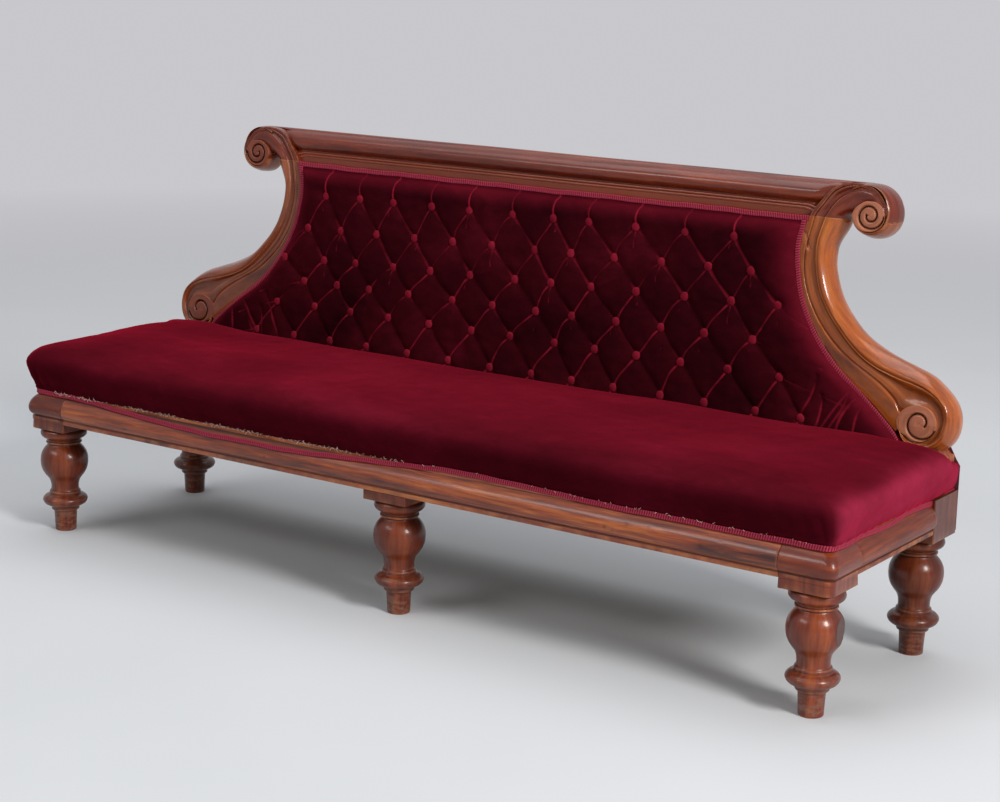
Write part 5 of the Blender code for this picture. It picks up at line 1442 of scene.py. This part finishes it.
def sheet_mesh(corner, width, length, bow, fine):
    """A thin level cloth from one corner, bowed by bow(s, t), with its own thickness."""
    def place(s, t):
        return corner + np.column_stack([s * width, t * length, bow(s, t)])

    bm = skinned(place, max(4, int(width / fine)), max(4, int(length / fine)), size=(width, length))
    bmesh.ops.solidify(bm, geom=bm.faces[:], thickness=0.0012)
    bmesh.ops.recalc_face_normals(bm, faces=bm.faces)
    return bm


def make_webbing(strap, hessian):
    """The seat's webs, woven over and under each other, and the hessian over its springs."""
    # The seat's middle from front to back, the straps' pitch, half the long ones' length, and their weave.
    mid, pitch, half, lift = -0.0206, 0.15, 1.14, 0.0009
    webs = bmesh.new()
    rows = [mid - 0.11, mid + 0.11]
    for number, x in enumerate(round(k * pitch, 3) for k in range(-6, 7)):
        sign = 1 if number % 2 else -1

        def bow(s, t, sign=sign):
            y = -0.30 + 0.56 * t
            weave = sum(sign * (1 if row > mid else -1) * np.exp(-((y - row) / 0.030) ** 2) for row in rows)
            return weave * lift

        # The strap behind the middle leg stops short of its block.
        front, reach = (-0.205, 0.470) if x == 0 else (-0.315, 0.590)
        strip = sheet_mesh((x - WEB_WIDTH / 2, front, WEB_LEVEL), WEB_WIDTH, reach, bow, fine=0.012)
        webs = joined(webs, strip)
    for row in rows:
        def bow(s, t, row=row):
            x = -half + 2 * half * s
            return lift * np.sin(x / pitch * math.pi) * (1 if row > mid else -1)

        strip = sheet_mesh((-half, row - WEB_WIDTH / 2, WEB_LEVEL), 2 * half, WEB_WIDTH, bow, fine=0.012)
        webs = joined(webs, strip)
    piece = put("seat_webs_woven", webs, strap, "seat_webbing", slot="webbing")

    def dip(s, t):
        return -0.0008 * np.cos(s * 40) * np.cos(t * 11)

    cloth = sheet_mesh((-1.1470, -0.3045, 0.3859), 2.294, 0.568, dip, fine=0.03)
    piece = put("seat_hessian_cloth", cloth, hessian, "seat_hessian", slot="hessian")


def copied(node):
    """A welded copy of a part's mesh, without its loose triangles."""
    bm = bmesh.new()
    bm.from_mesh(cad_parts[node].data)
    bmesh.ops.remove_doubles(bm, verts=bm.verts, dist=1e-5)
    bmesh.ops.dissolve_limit(bm, angle_limit=math.radians(1), verts=bm.verts, edges=bm.edges)
    return bm


def sliced(bm, axis, pitch):
    """Cuts a mesh at even steps, so that a flat cloth can bend."""
    values = [v.co[axis] for v in bm.verts]
    normal = Vector([float(number == axis) for number in range(3)])
    at = min(values) + pitch
    while at < max(values) - 1e-3:
        bmesh.ops.bisect_plane(bm, geom=bm.verts[:] + bm.edges[:] + bm.faces[:], dist=1e-6,
                               plane_co=normal * at, plane_no=normal)
        at += pitch
    return bm


def make_back_cloths(hessian, lining, strap):
    """The three cloths of the back, which keep the outlines of their parts."""
    for node, name, finish, slot, sway in (
            ("outside_back_cloth", "outside_back_lining", lining, "hessian", 0.0024),
            ("back_hessian", "back_hessian_cloth", hessian, "hessian", 0.0003),
            ("back_webbing", "back_webs", strap, "webbing", 0.0003)):
        bm = sliced(sliced(copied(node), 0, 0.05), 2, 0.05)
        bmesh.ops.triangulate(bm, faces=[f for f in bm.faces if len(f.verts) > 4])
        for layer in bm.loops.layers.uv.values():
            bm.loops.layers.uv.remove(layer)
        lay_run(bm, lambda vert: (vert.co.x, vert.co.z))
        for vert, push in zip(bm.verts, drift([(v.co.x, 0, v.co.z) for v in bm.verts], 4.5, sway)):
            vert.co.y += push
            if node == "outside_back_cloth":
                high = vert.co.z
                inwards = 0.018 * eased(high, 0.452, 0.476) * eased(high, 0.960, 0.860)
                vert.co.x *= 1 - inwards + 0.010 * eased(high, 0.458, 0.444)
        piece = put(name, bm, finish, node, slot=slot)
        # The mesh has two sides. It was cut from a rectangle, which is its part's box along the rake.
        least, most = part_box(node)


def finish_inside(finishes):
    """The parts that keep their own shape get their timber, steel or brass."""
    for node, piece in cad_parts.items():
        for words, material in finishes:
            if any(word in node for word in words):
                piece.data.materials.clear()
                piece.data.materials.append(material)
                break


# Floor and light.

PALE = paint("e0dfe4")
PALE_LIGHT = 0.78


def pale_floor():
    """A plain pale floor."""
    bm = bmesh.new()
    bmesh.ops.create_grid(bm, x_segments=2, y_segments=2, size=60)
    floor = shown("floor", laid(bm, "floor"))
    f = Finish("pale_floor")
    speck = f.cloud(f.place(), 1.2, 3, 0.5)
    plain = f.add("BsdfPrincipled", {}, Base_Color=f.mixed(speck, paint("cccfd3"), paint("d5d7da")),
                  Roughness=0.8, Specular_IOR_Level=0.2)
    # Far off, what the camera sees is the pale background.
    far = f.span(f.add("VectorMath", {"operation": "LENGTH"}, f.place(), out=1), 2.2, 8.0)
    pale = f.add("Emission", {}, Color=PALE, Strength=PALE_LIGHT)
    f.add("OutputMaterial", {}, f.add("MixShader", {}, far * f.looked_at(), plain, pale))
    floor.data.materials.append(f.owner)


def soft_lamp(name, place, aim, size, power, colour):
    """A rectangular lamp at its place, turned towards its aim."""
    data = bpy.data.lights.new(name, "AREA")
    data.shape, data.size, data.size_y = "RECTANGLE", size[0], size[1]
    data.energy, data.color = power, colour
    turned = (Vector(place) - Vector(aim)).to_track_quat("Z", "Y").to_matrix().to_4x4()
    shown(name, data).matrix_world = Matrix.Translation(place) @ turned


def studio_light():
    """Three soft lamps and a pale room."""
    soft_lamp("window_on_the_right", (7.6, -2.2, 4.8), (0.7, 0, 0.6), (1.9, 2.7), 620, (1.0, 0.985, 0.96))
    soft_lamp("soft_overhead", (-0.8, 0.6, 6.6), (0, 0, 0.5), (8.0, 5.0), 230, (1.0, 1.0, 1.0))
    soft_lamp("front_strip", (-3.4, -7.2, 6.2), (0, 0, 0.6), (5.0, 1.6), 170, (1.0, 0.99, 0.98))
    world = bpy.data.worlds.new("pale_room")
    bpy.context.scene.world = world
    f = Finish(world)
    room = f.add("Background", {}, Color=paint("dfe2e6"), Strength=0.34)
    seen = f.add("Background", {}, Color=PALE, Strength=PALE_LIGHT)
    f.add("OutputWorld", {}, f.add("MixShader", {}, f.looked_at(), room, seen))
    bpy.context.scene.view_settings.view_transform = "Standard"


# Build.

place_camera()
studio_light()
pale_floor()

# Each group of pieces has mahogany of its own tone, from its dark streaks to its light ones. The left, middle
# and rear legs, the side rails and the left arm and volutes have darker copies, as painted shade.
rail_wood = mahogany("rails", "3c130a", "8a3b1a", "be6c2c", gloss=0.34, coat=0.46, wear_and_highlight=1.5,
                     grime=0.4, bare=REBATE, haze=0.20, shine=0.34)
# Painted shade: the side rails get a darker copy of the front rail's mahogany.
shaded_side_rail_wood = mahogany("side_rails", "36110a", "6e2a14", "984a20", gloss=0.34, coat=0.16,
                     wear_and_highlight=1.5, grime=0.4, bare=REBATE, haze=0.20, shine=0.26)
leg_wood = mahogany("legs", "36120a", "702a14", "a25022", gloss=0.32, coat=0.36, wear_and_highlight=1.8,
                    grime=0.5, lively=0.8, scuffed=0.55, haze=0.16, shine=0.28)
# Painted shade: the left, middle and rear legs get darker copies of the right front leg's mahogany.
shaded_leg_wood = mahogany("darker_legs", "2e0f08", "602310", "8e421b", gloss=0.32, coat=0.28, wear_and_highlight=1.8,
                    grime=0.5, lively=0.8, scuffed=0.55, haze=0.16, shine=0.26)
shaded_rear_leg_wood = mahogany("rear_legs", "2c0e08", "562010", "7c3c1a", gloss=0.32, coat=0.26, wear_and_highlight=1.3,
                     grime=0.5, lively=0.8, scuffed=0.45, haze=0.16, shine=0.22)
arm_wood = mahogany("right_arm", "642a12", "a8541c", "ce7a2e", gloss=0.20, coat=0.42, wear_and_highlight=2.0,
                    grime=0.08, lively=0.9)
# Painted shade: the left arm and the left volutes get darker copies of the right-hand ones' mahogany.
shaded_left_arm_wood = mahogany("left_arm", "542313", "8a4426", "b26a40", gloss=0.20, coat=0.42, wear_and_highlight=2.0,
                     grime=0.08, lively=0.9)
crest_wood = mahogany("crest", "3a120d", "6c2612", "944220", gloss=0.24, coat=0.30, wear_and_highlight=1.8,
                      grime=0.12, lively=0.75, haze=0.14, shine=0.28, fascia_light=0.9)
disc_wood = mahogany("right_volutes", "74402e", "b06c50", "c6866a", gloss=0.42, coat=0.10,
                     wear_and_highlight=0.8, grime=0.3, lively=0.7)
shaded_left_disc_wood = mahogany("left_volutes", "4e2016", "7a3c2a", "965238", gloss=0.42, coat=0.10,
                          wear_and_highlight=0.8, grime=0.3, lively=0.7)
block_wood = mahogany("scroll_blocks", "54220f", "944a22", "b6662e", gloss=0.22, coat=0.45,
                      grime=0.15)
crimson = velvet("crimson_seat_velvet", "3e0a13", "560f1c", "701628", 0.9, lit="9a2a44")
crimson_back = velvet("crimson_back_velvet", "20050a", "3a0911", "58101d", 0.34, lit_crease="a42238",
                      lit="761628")
# Painted light: the buttons' velvet is a lighter copy of the back's.
lit_button_velvet = velvet("crimson_button_velvet_in_painted_light", "5a0e1b", "7e172a", "922436", 0.3)
braid = woven_gimp("scroll_gimp")
hessian = plain_weave("hessian_cloth", 0.0026, "6d5636", "a58a5e", "7f6642")
lining = plain_weave("outside_back_cloth", 0.0012, "3a0812", "6a1226", "4c0e1c", loose=0.3)
tow = plain_weave("frayed_tow", 0.0009, "c89880", "f0d4c2", "dcb29a", loose=0.8)
strap = web_strap("seat_and_back_web")
beech_x, beech_y, beech_z = [
    plain_timber("beech_" + way, axis, "8d6a42", "bd9768", "9d8461")
    for way, axis in (("lengthways", "X"), ("front_to_back", "Y"), ("upright", "Z"))]
steel = old_metal("spring_steel", "8f8d88", "5a4030", 0.32, 70.0)
brass = old_metal("screw_brass", "b08a4a", "6b5330", 0.28, 90.0)

make_rails_and_legs(rail_wood, shaded_side_rail_wood, leg_wood, shaded_leg_wood, shaded_rear_leg_wood)
make_arms_and_crest({"right": arm_wood, "left": shaded_left_arm_wood}, crest_wood,
                    {"right": disc_wood, "left": shaded_left_disc_wood}, block_wood)
back = put("back_velvet_buttoned", back_mesh(), crimson_back, "back_cover", "back_stuffing",
           slot="velvet", crisp=180)
put("back_buttons", button_mesh(), lit_button_velvet, slot="velvet", crisp=180)
make_seat(crimson)
make_gimps(braid)
make_frays(tow)
make_webbing(strap, hessian)
make_back_cloths(hessian, lining, strap)
finish_inside([(("spring",), steel), (("screw",), brass), (("stretcher", "corner_block"), beech_y),
               (("upright", "dowel"), beech_z), (("rear_seat_rail", "lower_back_rail"), beech_x)])
